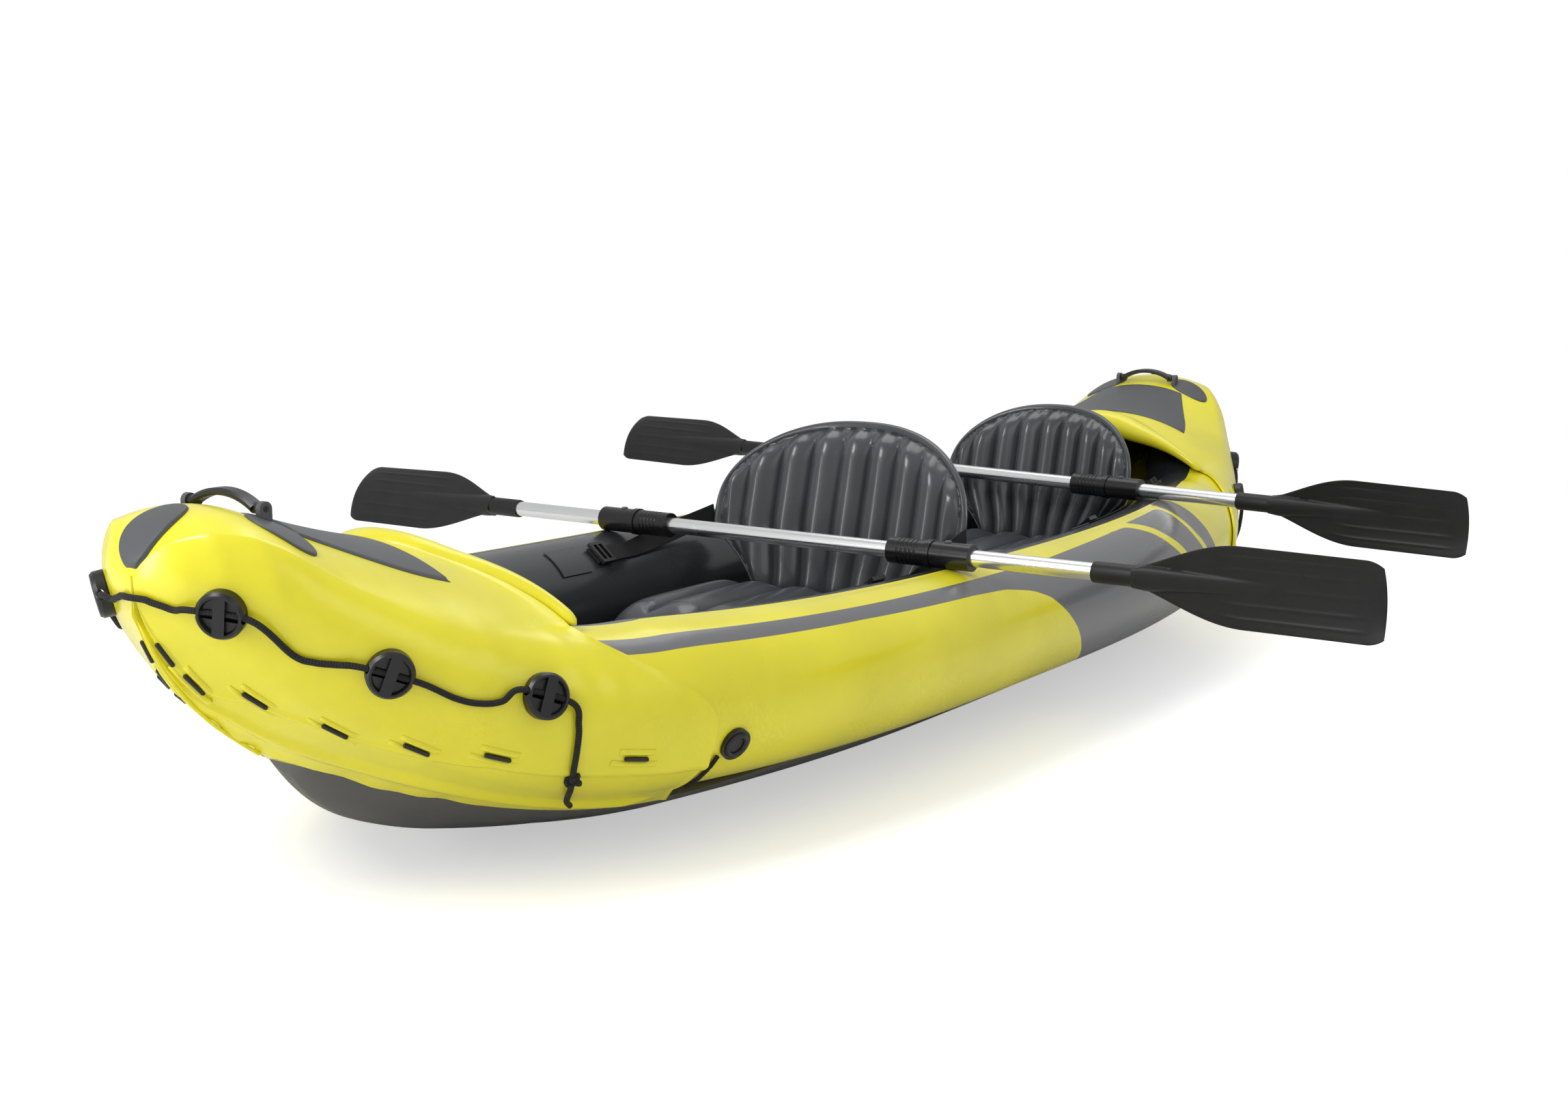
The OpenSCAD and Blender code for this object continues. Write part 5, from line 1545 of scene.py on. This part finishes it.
@dataclass
class GrabLines:
    """The grab lines through the discs at both ends, and the short lash cords on the tubes.

    A place on a line is a distance from the tip and a place on the section; a disc also has the turn of its
    channel. A place on a lash cord is a distance from the tip and an angle on the tube.
    """

    dresser: Dresser
    line_d: float = 8.0
    line_o: float = 11.7
    nose_lift: float = 1.2
    disc_r: float = 29.0
    channel_h: float = 8.5
    lash_d: float = 6.0
    mouth_out: float = 6.0
    stem_a: float = 2.6
    knot_size: float = 3.0
    knot_r: float = 3.6
    discs: tuple[Place, ...] = ((42, 1.60, 14), (179, 1.48, 10), (346, 1.38, -18))
    tail: Route = (
        (437, 2.25), (426, 2.10), (416, 1.98), (401, 1.87), (389, 1.76), (383, 1.64), (381, 1.53))
    aft: Route = ((292, 1.41), (268, 1.45), (242, 1.47))
    fore: Route = ((126, 1.59), (109, 1.64), (92, 1.66))
    nose: Route = ((14, 1.78), (8, 1.82), (3.5, 1.87), (0.5, 1.92))
    lash: Route = ((593, -29), (590, -38), (588, -50), (592, -64))
    knot_at: tuple[float, float] = (395.5, 1.815)

    def stretch(self, places: Route, lift: float = 0.0) -> Array:
        """Points of the line over the cover, each with its outward direction, as rows of six."""
        s, a = LINES.tip - np.array(places)[:, 0], np.array(places)[:, 1]
        return np.hstack([LINES.end_point(s, a, self.line_o + lift), LINES.end_axes(s, a)[2]])

    def mouths(self, index: int) -> Array:
        """The two points where the line meets a disc.

        Args:
            index: Number of the disc, from the nose.

        Returns:
            The points, each with its outward direction, as rows of six.
        """
        back, a, turn = self.discs[index]
        s, g = np.float64(LINES.tip - back), math.radians(turn)
        u, v, n = LINES.end_axes(s, np.float64(a))
        middle = LINES.end_point(s, a, LINES.cover_o) + self.channel_h * n
        out = self.disc_r + self.mouth_out
        way = np.array([[-out], [out]]) * (math.cos(g) * u + math.sin(g) * v)
        return np.hstack([middle + way, np.tile(n, (2, 1))])

    def line(self) -> Array:
        """The bow's whole line from the port tail round the nose to the starboard one.

        Returns:
            Its points, each with its outward direction, as rows of six.
        """
        half = np.vstack([
            self.stretch(self.tail), self.mouths(2), self.stretch(self.aft), self.mouths(1),
            self.stretch(self.fore), self.mouths(0), self.stretch(self.nose, self.nose_lift)])
        end = LINES.tip - LINES.cover_o + self.line_o
        stem = LINES.end_point(end - 2, self.stem_a, self.line_o + self.nose_lift)
        middle = np.array([[stem[0], 0, stem[2], 1, 0, 0]])
        other = half[::-1] * np.array([1, -1, 1, 1, -1, 1])
        return np.vstack([half, middle, other])

    def knot(self) -> tuple[Array, Array]:
        """A stopper knot on the tail: (sin t + 2 sin 2t, cos t - 2 cos 2t, -sin 3t), drawn small.

        Returns:
            Path of the knot and its up directions.
        """
        g = np.linspace(0, 2 * np.pi, 73)
        s, a = np.float64(LINES.tip - self.knot_at[0]), np.float64(self.knot_at[1])
        u, v, n = LINES.end_axes(s, a)
        shape = np.stack([np.sin(g) + 2 * np.sin(2 * g), np.cos(g) - 2 * np.cos(2 * g), -np.sin(3 * g)], -1)
        path = LINES.end_point(s, a, self.line_o + 1) + self.knot_size * shape @ np.stack([u, v, n])
        return path, n + 0.2 * np.cos(g)[:, None] * u

    def build(self) -> None:
        """Makes both lines with their knots, and the four lash cords."""
        route = curve_through(self.line(), 8)
        path, ups = route[:, :3], unit(route[:, 3:])
        knot, knot_ups = self.knot()
        for end in End:
            cord = Surface().tube(mirrored(path, end), mirrored(ups, end), self.line_d / 2, 14)
            for side in Side:
                cord.tube(mirrored(knot, end, side), mirrored(knot_ups, end, side), self.knot_r, 12)
            self.dresser.dress(cord.build(f"{end.label}_line"), CORD, "hull", f"{end.label}_grab_line")
        back, angle = np.array(self.lash).T
        x, r = LINES.tip - back, self.lash_d / 2
        places = np.hstack([LINES.tube_point(x, angle, r + 1), LINES.tube_out(x, angle)])
        route = curve_through(places, 8)
        path, ups = route[:, :3], unit(route[:, 3:])
        cords = Surface()
        for quarter in product(End, Side):
            cords.tube(mirrored(path, *quarter), mirrored(ups, *quarter), r, 12)
        self.dresser.dress(cords.build("lash_lines"), CORD, "hull", "lash_cords")


@dataclass(frozen=True)
class Air:
    """How a soft chamber is blown up by a cloth simulation."""

    pressure: float = 3.0
    frames: int = 14
    cap: float = 6.0
    stiffness: float = 30.0
    bending: float = 0.4
    mass: float = 0.2
    quality: int = 6

    def blow(self, piece: bpy.types.Object) -> None:
        """Inflates a piece whose welds are pinned, and keeps every point within the cap of its place.

        Args:
            piece: A closed piece with a pin attribute of 1 at its welds.
        """
        mesh = piece.data
        count = len(mesh.vertices)
        pinned = np.empty(count, np.float32)
        mesh.attributes["pin"].data.foreach_get("value", pinned)
        start = np.empty(count * 3, np.float32)
        mesh.vertices.foreach_get("co", start)
        group = piece.vertex_groups.new(name="pin")
        group.add(np.flatnonzero(pinned > 0.5).tolist(), 1.0, "REPLACE")
        cloth = piece.modifiers.new("air", "CLOTH")
        values = cloth.settings
        values.quality = self.quality
        values.mass = self.mass
        values.tension_stiffness = values.compression_stiffness = self.stiffness
        values.shear_stiffness = self.stiffness / 2
        values.bending_stiffness = self.bending
        values.use_pressure = True
        values.uniform_pressure_force = self.pressure
        values.vertex_group_mass = "pin"
        values.effector_weights.gravity = 0
        cloth.collision_settings.use_collision = False
        scene = bpy.context.scene
        for frame in range(1, self.frames + 1):
            scene.frame_set(frame)
        held = piece.evaluated_get(bpy.context.evaluated_depsgraph_get())
        blown = np.empty(count * 3, np.float32)
        held.data.vertices.foreach_get("co", blown)
        piece.modifiers.remove(cloth)
        piece.vertex_groups.clear()
        scene.frame_set(1)
        move = (blown - start).reshape(-1, 3)
        far = np.linalg.norm(move, axis=1, keepdims=True)
        move *= np.minimum(1, self.cap * MM / np.maximum(far, 1e-9))
        mesh.vertices.foreach_set("co", (start.reshape(-1, 3) + move).ravel())
        mesh.update()
        LOG.info("%s blown up, %.1f mm at most", piece.name, np.linalg.norm(move, axis=1).max() / MM)


@dataclass
class Seat:
    """An inflatable seat: a cushion with lengthways channels, a fluted backrest and two straps.

    A seat has its own station, backrest half-width and height, and distance that its straps lie on the tubes.
    """

    dresser: Dresser
    name: str
    x: float
    half_w: float
    back_h: float
    lie: float
    cushion_len: float = 370.0
    cushion_h: float = 125.0
    floor_h: float = 112.5
    back_t: float = 84.0
    back_bend: float = 58.0
    back_lean: float = 14.0
    corner_rise: float = 150.0
    shoulder_h: float = 205.0
    arch_power: float = 2.3
    narrow_h: float = 60.0
    widen_run: float = 120.0
    rim_soft: float = 7.0
    dome_run: float = 58.0
    valley: float = 0.46
    pucker: float = 1.8
    back_least: float = 5.0
    flutes: int = 9
    hinge_z: float = 138.0
    wall_gap: float = 10.0
    roll_r: float = 9.0
    cushion_ahead: float = 4.0
    cushion_channels: int = 5
    cushion_soft: float = 12.0
    crown_run: float = 85.0
    foot_run: float = 30.0
    foot_rise: float = 16.4
    side_rise: float = 17.0
    crown_short: float = 27.0
    channel_depth: float = 0.26
    waist: float = 0.10
    strap_w: float = 34.0
    strap_t: float = 2.4
    anchor_ahead: float = 345.0
    anchor_angle: float = 130.0
    anchor_half: float = 40.0
    knee_back: float = 35.0
    knee_rise: float = 6.0
    strap_v: float = 0.72
    crease: float = 70.0
    air: Air = Air()

    @staticmethod
    def soft_least(edges: Sequence[Array], soft: float) -> Array:
        """Least of several distances, rounded where two are alike: -k log(sum(exp(-d / k))).

        Args:
            edges: The distances, each an array.
            soft: The length k over which corners round off.

        Returns:
            The least distance at each point.
        """
        each = np.stack(np.broadcast_arrays(*edges))
        return np.maximum(-soft * np.log(np.exp(-each / soft).sum(0)), 0)

    @staticmethod
    def quarter_round(t: Array) -> Array:
        """Height of a quarter circle from 0 to 1, by its share of the way in: sqrt(1 - (1 - t)^2)."""
        return np.sqrt(np.maximum(0, 1 - np.square(1 - ramp(t))))

    @staticmethod
    def flute(p: Array, count: int) -> Array:
        """Round channels across a cushion: |sin|, which is 0 at the welds between them."""
        return np.abs(np.sin(count * np.pi / 2 * (p + 1)))

    def back_place(self, p: Array, v: Array, depth: Array | float) -> tuple[Array, Array]:
        """Place on the backrest and the distance from its rim.

        Args:
            p: Place across, from -1 to 1.
            v: Place up, from 0 to 1.
            depth: Distance in front of the backrest's middle sheet.

        Returns:
            Points, and each point's distance from the rim by a soft least of its edges' distances.
        """
        b = np.abs(p)
        low_w = LINES.inner_wall(np.float64(self.x - self.back_t)) - self.wall_gap
        h0 = self.corner_rise * smooth((b - 0.55) / 0.45)
        h1 = mix(self.shoulder_h, self.back_h, np.sqrt(np.maximum(0, 1 - b**self.arch_power)))
        h = mix(h0, h1, v)
        fit = mix(low_w, self.half_w, smooth((h - self.narrow_h) / self.widen_run))
        rim = self.soft_least(((1 - v) * (h1 - h0), v * (h1 - h0), (1 - b) * fit), self.rim_soft)
        c, s = math.cos(math.radians(self.back_lean)), math.sin(math.radians(self.back_lean))
        x = self.x - self.back_t / 2 + self.back_bend * p * p + depth * c - h * s
        return np.stack(np.broadcast_arrays(x, fit * p, self.hinge_z + depth * s + h * c), -1), rim

    def backrest(self) -> None:
        """Makes the backrest: a rolled rim, then round flutes that dome up from the weld inside it.

        The rim is a half-circle of its distance m, sqrt(r^2 - (r - m)^2); a flute is |sin| across.
        """
        p = eased(-1, 1, 190)[None]
        v = eased(0, 1, 76)[:, None]
        _, m = self.back_place(p, v, 0.0)
        r = self.roll_r
        roll = np.sqrt(np.maximum(0.8, r * r - np.square(np.minimum(m, 2 * r) - r)))
        inside = ramp((m - 1.5 * r) / self.dome_run)
        wave = self.flute(p, self.flutes)
        swell = mix(self.valley, 1, wave**0.8 * smooth(0.25 + inside * 1.6))
        crest = (self.back_t / 2 - 4) * self.quarter_round(inside) * swell
        pucker = self.pucker * np.sin(2 * self.flutes * np.pi * (p + 1) + 9 * v) * bump((m - 2.6 * r) / 22)
        flutes = np.maximum(crest + pucker * (inside > 0), self.back_least * ramp(m / 4) + 0.8)
        depth = np.maximum(np.where(m < 1.8 * r, roll, 0), flutes)
        weld = ((wave < 0.09) & (inside > 0.1)) | (np.abs(m - 1.7 * r) < 4)
        front, back = self.back_place(p, v, depth)[0], self.back_place(p, v, -depth)[0]
        skin = Surface().sheet(front, back, pin=weld.astype(float))
        piece = skin.build(f"{self.name}_back_pad", crease=self.crease)
        self.air.blow(piece)
        self.dresser.dress(piece, SEAT_VINYL, f"{self.name}_back", f"{self.name}_backrest")

    def cushion(self) -> None:
        """Makes the cushion: crowned, drawn in at its ends, with lengthways channels that fade at the rim.

        The crown is a quarter circle of the distance m from the rim, and a channel is |sin| across.
        """
        p = eased(-1, 1, 150)[None]
        u = eased(0, 1, 80)[:, None]
        x = self.x + self.cushion_ahead + self.cushion_len * u + 0 * p
        half = LINES.inner_wall(x) - self.wall_gap
        y = half * (1 - self.waist * (2 * u - 1) ** 4) * p
        edges = (u * self.cushion_len, (1 - u) * self.cushion_len, (1 - np.abs(p)) * half)
        m = self.soft_least(edges, self.cushion_soft)
        wave = self.flute(p, self.cushion_channels)
        channel = 1 - self.channel_depth * (1 - np.sqrt(wave)) * smooth((m - 26) / 40)
        crown = (self.cushion_h - self.crown_short) * self.quarter_round(m / self.crown_run) * channel
        top = self.floor_h + self.side_rise + crown
        foot = self.floor_h + self.foot_rise * (1 - self.quarter_round(m / self.foot_run))
        outer, inner = np.stack([x, y, top], -1), np.stack([x, y, foot], -1)
        piece = Surface().sheet(outer, inner).build(f"{self.name}_seat_pad", crease=self.crease)
        self.dresser.dress(piece, SEAT_VINYL, "hull", f"{self.name}_cushion")

    def strap(self, side: Side) -> None:
        """Makes one strap, from its anchor along the tube and up to the backrest's edge.

        It lies on the tube first, and is then a quadratic curve over a knee.

        Args:
            side: The side that it is on.
        """
        anchor = self.x + self.anchor_ahead
        o = self.strap_t / 2 + 1.2

        def along(x: Array) -> Array:
            """Places of the strap where it lies on the tube."""
            return LINES.tube_point(x, self.anchor_angle, o)

        start = along(np.float64(anchor - self.lie))
        knee = along(np.float64(anchor - self.lie - self.knee_back)) + np.array([0, 0, self.knee_rise])
        edge, _ = self.back_place(np.float64(1), np.float64(self.strap_v), 0.0)
        top = edge + np.array([0, self.strap_t / 2 + 1, 0])
        t = np.linspace(0, 1, 41)[:, None]
        free = (1 - t) ** 2 * start + 2 * t * (1 - t) * knee + t * t * top
        lying = along(np.linspace(anchor - self.anchor_half, anchor - self.lie, 25)[:-1])
        path = np.vstack([lying, free])
        out = LINES.tube_out(np.float64(anchor), np.float64(self.anchor_angle))
        outs = np.vstack([np.tile(out, (len(lying), 1)), unit(mix(out, np.array([0, -1, 0.05]), smooth(t)))])
        way = unit(np.gradient(path, axis=0))
        across = unit(np.cross(outs, way))
        up = np.cross(way, across)
        half = np.array([[-1, -1], [-0.5, -1.1], [0.5, -1.1], [1, -1], [1.03, 0]])
        ring = np.vstack([half, -half]) * np.array([self.strap_w / 2, self.strap_t / 2])
        rings = path[:, None] + ring[None, :, :1] * across[:, None] + ring[None, :, 1:] * up[:, None]
        run = np.repeat(run_along(path)[:, None], len(ring), 1)
        lap = np.repeat(ring[None, :, 0] / self.strap_w + 0.5, len(path), 0)
        band = Surface().loft(mirrored(rings, side=side), along=run, around=lap)
        piece = band.build(f"{self.name}_{side.label}_strap_band", crease=40)
        self.dresser.paint(piece, WEBBING)
        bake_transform(piece)
        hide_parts(f"{self.name}_strap_{side.label}")
        LOG.info("%s bends with the backrest", piece.name)

    def build(self) -> None:
        """Makes the whole seat."""
        self.cushion()
        self.backrest()
        for side in Side:
            self.strap(side)


@dataclass
class Blades:
    """The four paddle blades: a spine that dies into the face, lengthways ribs and a slight spoon."""

    dresser: Dresser
    paddle_len: float = 2050.0
    blade_len: float = 438.0
    blade_w: float = 126.0
    socket_len: float = 62.0
    shaft_r: float = 13.5
    socket_wall: float = 3.0
    spoon: float = 14.0
    edge: float = 2.0
    spine_len: float = 0.72
    spine_least: float = 0.12
    throat: float = 0.45
    throat_share: float = 0.24
    corner: float = 0.07
    tip_narrowing: float = 0.05
    rib_h: float = 1.3
    rib_half: float = 2.2
    vein_half: float = 3.0
    lead_in: float = 4.0
    lap: float = 4.0
    rear_turn: float = -4.1
    rear_tilt: float = -0.813
    feather: dict[Side, float] = field(default_factory=lambda: {Side.PORT: 8.0, Side.STARBOARD: 36.0})
    ribs: tuple[float, ...] = (-0.74, -0.42, 0.42, 0.74)

    def half_width(self, u: Array) -> Array:
        """Half-width along the blade: a sine out of the throat, then nearly straight to round corners.

        Args:
            u: Share of the way from the socket to the tip.

        Returns:
            The half-width at each place.
        """
        throat = mix(self.throat_share, 1.0, np.sin(np.pi / 2 * ramp(u / self.throat)) ** 1.3)
        corner = np.sqrt(1 - 0.28 * ramp((u - 1 + self.corner) / self.corner) ** 2)
        straight = 1 - self.tip_narrowing * (u - self.throat)
        return self.blade_w / 2 * np.where(u < self.throat, throat, straight * corner)

    def local(self) -> Surface:
        """A blade along Y, with its width along Z.

        The spine is a half-ellipse that sinks along the blade, the ribs are bells, and the spoon a parabola.

        Returns:
            The surface, with its shaft's middle at the origin.
        """
        inner = self.paddle_len / 2 - self.blade_len
        start, stop = inner + self.socket_len + self.lap, self.paddle_len / 2
        tip = 1 - self.corner * np.cos(np.linspace(0.05, 1, 20) * np.pi / 2)
        u = np.append(np.linspace(0, 1 - self.corner, 80), tip)[:, None]
        p = eased(-1, 1, 101)[None]
        w = self.half_width(u)
        fall = np.maximum(self.spine_least, 1 - (u / self.spine_len) ** 0.8)
        h = (self.shaft_r + self.socket_wall) * fall
        bow = self.spoon * u * (p * p - 0.5)
        spine = np.maximum(0, h - self.edge) * np.sqrt(np.maximum(0, 1 - np.square(np.abs(p * w) / (h + 6))))
        ribs = self.rib_h * sum(bump((p - c) * w / self.rib_half) for c in self.ribs)
        rib = ribs * smooth((u - 0.3) / 0.15) * smooth((0.95 - u) / 0.1)
        vein = bump(p * w / self.vein_half) * smooth((u - 0.5) / 0.2) * smooth((0.96 - u) / 0.08)
        thin = np.sqrt(np.maximum(0, 1 - np.abs(p) ** 14)) * np.sqrt(np.maximum(0, 1 - u**60))
        thick = self.edge * np.maximum(thin, 0.25) + spine + rib + vein
        y, z = mix(start, stop, u) + 0 * p, p * w
        face = np.stack([bow + thick, y, z], -1)
        back = np.stack([bow - thick, y, z], -1)
        made = Surface().sheet(face, back)
        runs = np.array([inner, inner + self.lead_in, inner + self.socket_len, start + 6])
        radii = self.shaft_r + self.socket_wall * np.array([0.8, 1.0, 1.0, 0.97])
        path = np.stack([0 * runs, runs, 0 * runs], -1)
        return made.tube(path, np.tile([0.0, 0, 1], (4, 1)), radii, 48)

    def build(self) -> None:
        """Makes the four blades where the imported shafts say."""
        shape = self.local()
        rear = turn_about(2, self.rear_turn) @ turn_about(0, self.rear_tilt)
        for seat, turn in (("front", np.eye(3)), ("rear", rear)):
            low, high = (np.array(corner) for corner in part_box(f"{seat}_shaft_mid"))
            middle = (low + high) / 2 / MM
            for side in Side:
                about = turn_about(1, self.feather[side])
                pose = turn @ (np.eye(3) if side is Side.PORT else turn_about(2, 180)) @ about
                points = [patch @ pose.T + middle for patch in shape.points]
                placed = Surface(points, shape.faces, {}, shape.count)
                name = f"{seat}_blade_{side.label}"
                self.dresser.dress(placed.build(f"{name}_face", crease=50), BLADE, f"{name}_body", name)


class Fittings:
    """Finishes of the solids that are shown as they are."""

    finishes: dict[str, Finish] = {
        "handle_lugs": LUG, "bow_handle": MOULDING, "stern_handle": MOULDING, "line_discs": MOULDING,
        "cover_lacing": MOULDING, "lash_rings": MOULDING, "strap_anchors": ANCHOR, "strap_buckles": MOULDING,
        "port_valve": VALVE, "starboard_valve": VALVE, "floor_valve": VALVE, "port_valve_cap": MOULDING,
        "starboard_valve_cap": MOULDING, "floor_valve_cap": MOULDING,
    }

    def __init__(self, dresser: Dresser) -> None:
        """Lists every solid with its finish.

        Args:
            dresser: Keeper of the materials.
        """
        self.dresser = dresser
        self.all = dict(self.finishes)
        for seat in ("front", "rear"):
            self.all |= {
                f"{seat}_cushion_valve": VALVE, f"{seat}_backrest_valve": VALVE,
                f"{seat}_shaft_mid": ALUMINIUM}
            for side in Side:
                self.all |= {
                    f"{seat}_shaft_{side.label}": ALUMINIUM, f"{seat}_coupler_{side.label}": COUPLER,
                    f"{seat}_button_{side.label}": LUG}

    def build(self) -> None:
        """Paints every solid."""
        for node, finish in self.all.items():
            solid = bpy.data.objects[node]
            solid.data.materials.clear()
            solid.data.materials.append(self.dresser.material(finish))
            LOG.info("%s has the finish %s", node, finish.name)


@dataclass(frozen=True)
class Lamp:
    """A soft box: its place and aim in metres, its width and height, and its power in watts."""

    name: str
    at: Place
    aim: Place
    size: tuple[float, float]
    power: float

    def build(self) -> None:
        """Hangs the lamp so that it faces its aim."""
        data = bpy.data.lights.new(self.name, "AREA")
        data.shape = "RECTANGLE"
        data.size, data.size_y = self.size
        data.energy = self.power
        lamp = bpy.data.objects.new(self.name, data)
        lamp.location = self.at
        way = np.array(self.aim) - np.array(self.at)
        tilt = math.acos(-way[2] / np.linalg.norm(way))
        lamp.rotation_euler = (tilt, 0, math.atan2(way[1], way[0]) - math.pi / 2)
        bpy.context.scene.collection.objects.link(lamp)


@dataclass
class Studio:
    """Floor, world, lamps and the camera at the photograph's angle."""

    eye: Place = (2.7218, 1.8103, 0.8137)
    yaw: float = -2.5269
    pitch: float = -0.1621
    focal_px: float = 2714.86
    image_px: int = 2296
    sensor: float = 36.0
    even_light: float = 0.5
    glossy_light: float = 0.6
    floor_glow: float = 0.5
    floor_near: float = 1.9
    floor_far: float = 4.2
    floor_half: float = 40000.0
    floor_shade: Colour = (0.82, 0.82, 0.82)
    floor_shine: float = 0.5
    lamps: tuple[Lamp, ...] = (
        Lamp("key", at=(3.4, -0.6, 3.2), aim=(0.5, 0.0, 0.3), size=(1.4, 1.4), power=70),
        Lamp("strip", at=(3.3, -1.1, 0.85), aim=(0.0, 0.0, 0.45), size=(0.3, 1.5), power=16),
        Lamp("fill", at=(1.0, 4.0, 2.4), aim=(0.3, 0.2, 0.2), size=(2.6, 2.0), power=14),
        Lamp("top", at=(-1.2, -0.6, 3.8), aim=(-0.4, 0.0, 0.2), size=(2.4, 2.4), power=34),
    )

    def build(self) -> None:
        """Makes the whole studio."""
        self.floor()
        self.world()
        for lamp in self.lamps:
            lamp.build()
        self.camera()

    def camera(self) -> None:
        """Places the camera by its eye, yaw and pitch."""
        data = bpy.data.cameras.new("camera")
        data.sensor_width = self.sensor
        data.lens = self.sensor * self.focal_px / self.image_px
        data.clip_end = 100
        eye = bpy.data.objects.new("camera", data)
        eye.location = self.eye
        eye.rotation_euler = (math.pi / 2 + self.pitch, 0, self.yaw - math.pi / 2)
        bpy.context.scene.collection.objects.link(eye)
        bpy.context.scene.camera = eye

    def floor(self) -> None:
        """Lays a wide pale floor that goes over into the white behind it, away from the object."""
        plane = np.array([[[-1, -1, 0], [1, -1, 0]], [[-1, 1, 0], [1, 1, 0]]]) * self.floor_half
        mesh = bpy.data.meshes.new("floor")
        mesh.from_pydata((plane.reshape(-1, 3) * MM).tolist(), [], [[0, 1, 3, 2]])
        ground = bpy.data.objects.new("floor", mesh)
        bpy.context.scene.collection.objects.link(ground)
        made = bpy.data.materials.new("pale_floor")
        made.use_nodes = True
        shader = made.node_tree.nodes["Principled BSDF"]
        shader.inputs["Roughness"].default_value = 0.9
        shader.inputs["Emission Color"].default_value = (1, 1, 1, 1)
        w = Wiring(made.node_tree)
        rays = w.node("ShaderNodeLightPath")
        seen = w.math("MAXIMUM", rays.outputs["Is Camera Ray"], rays.outputs["Is Transmission Ray"])
        reach = w.node("ShaderNodeVectorMath", operation="LENGTH")
        w.join(w.node("ShaderNodeTexCoord").outputs["Object"], reach.inputs[0])
        far = w.math("MULTIPLY", w.step(reach.outputs["Value"], self.floor_near, self.floor_far), seen)
        near_glow = w.math("MULTIPLY", seen, self.floor_glow)
        glow = w.math("ADD", near_glow, w.math("MULTIPLY", far, 1 - self.floor_glow))
        w.join(glow, shader.inputs["Emission Strength"])
        w.join(w.blend(far, self.floor_shade, (0.0, 0.0, 0.0)), shader.inputs["Base Color"])
        shine = w.math("MULTIPLY", w.math("SUBTRACT", 1.0, far), self.floor_shine)
        w.join(shine, shader.inputs["Specular IOR Level"])
        mesh.materials.append(made)

    def world(self) -> None:
        """Lights the scene evenly, and shows white to the camera, to metal and through glass."""
        world = bpy.data.worlds.new("studio")
        bpy.context.scene.world = world
        world.use_nodes = True
        w = Wiring(world.node_tree)
        rays = w.node("ShaderNodeLightPath")
        seen = w.math("MAXIMUM", rays.outputs["Is Camera Ray"], rays.outputs["Is Transmission Ray"])
        glossy = w.math("MULTIPLY", rays.outputs["Is Glossy Ray"], self.glossy_light - self.even_light)
        back = world.node_tree.nodes["Background"]
        back.inputs["Color"].default_value = (1, 1, 1, 1)
        strength = w.math("ADD", w.math("MULTIPLY", seen, 1 - self.even_light), self.even_light)
        w.join(w.math("ADD", strength, glossy), back.inputs["Strength"])


def main() -> None:
    """Builds the pieces in order and reports each one."""
    logging.basicConfig(level=logging.INFO, format="%(name)s: %(message)s")
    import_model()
    bpy.context.scene.view_settings.view_transform = "Standard"
    Studio().build()
    dresser = Dresser()
    SideTubes(dresser).build()
    FloorChamber(dresser).build()
    EndCovers(dresser).build()
    GrabLines(dresser).build()
    Seat(dresser, "front", x=32.0, half_w=266.0, back_h=372.0, lie=150.0).build()
    Seat(dresser, "rear", x=-735.0, half_w=214.0, back_h=350.0, lie=300.0).build()
    Blades(dresser).build()
    Fittings(dresser).build()


if __name__ == "__main__":
    main()
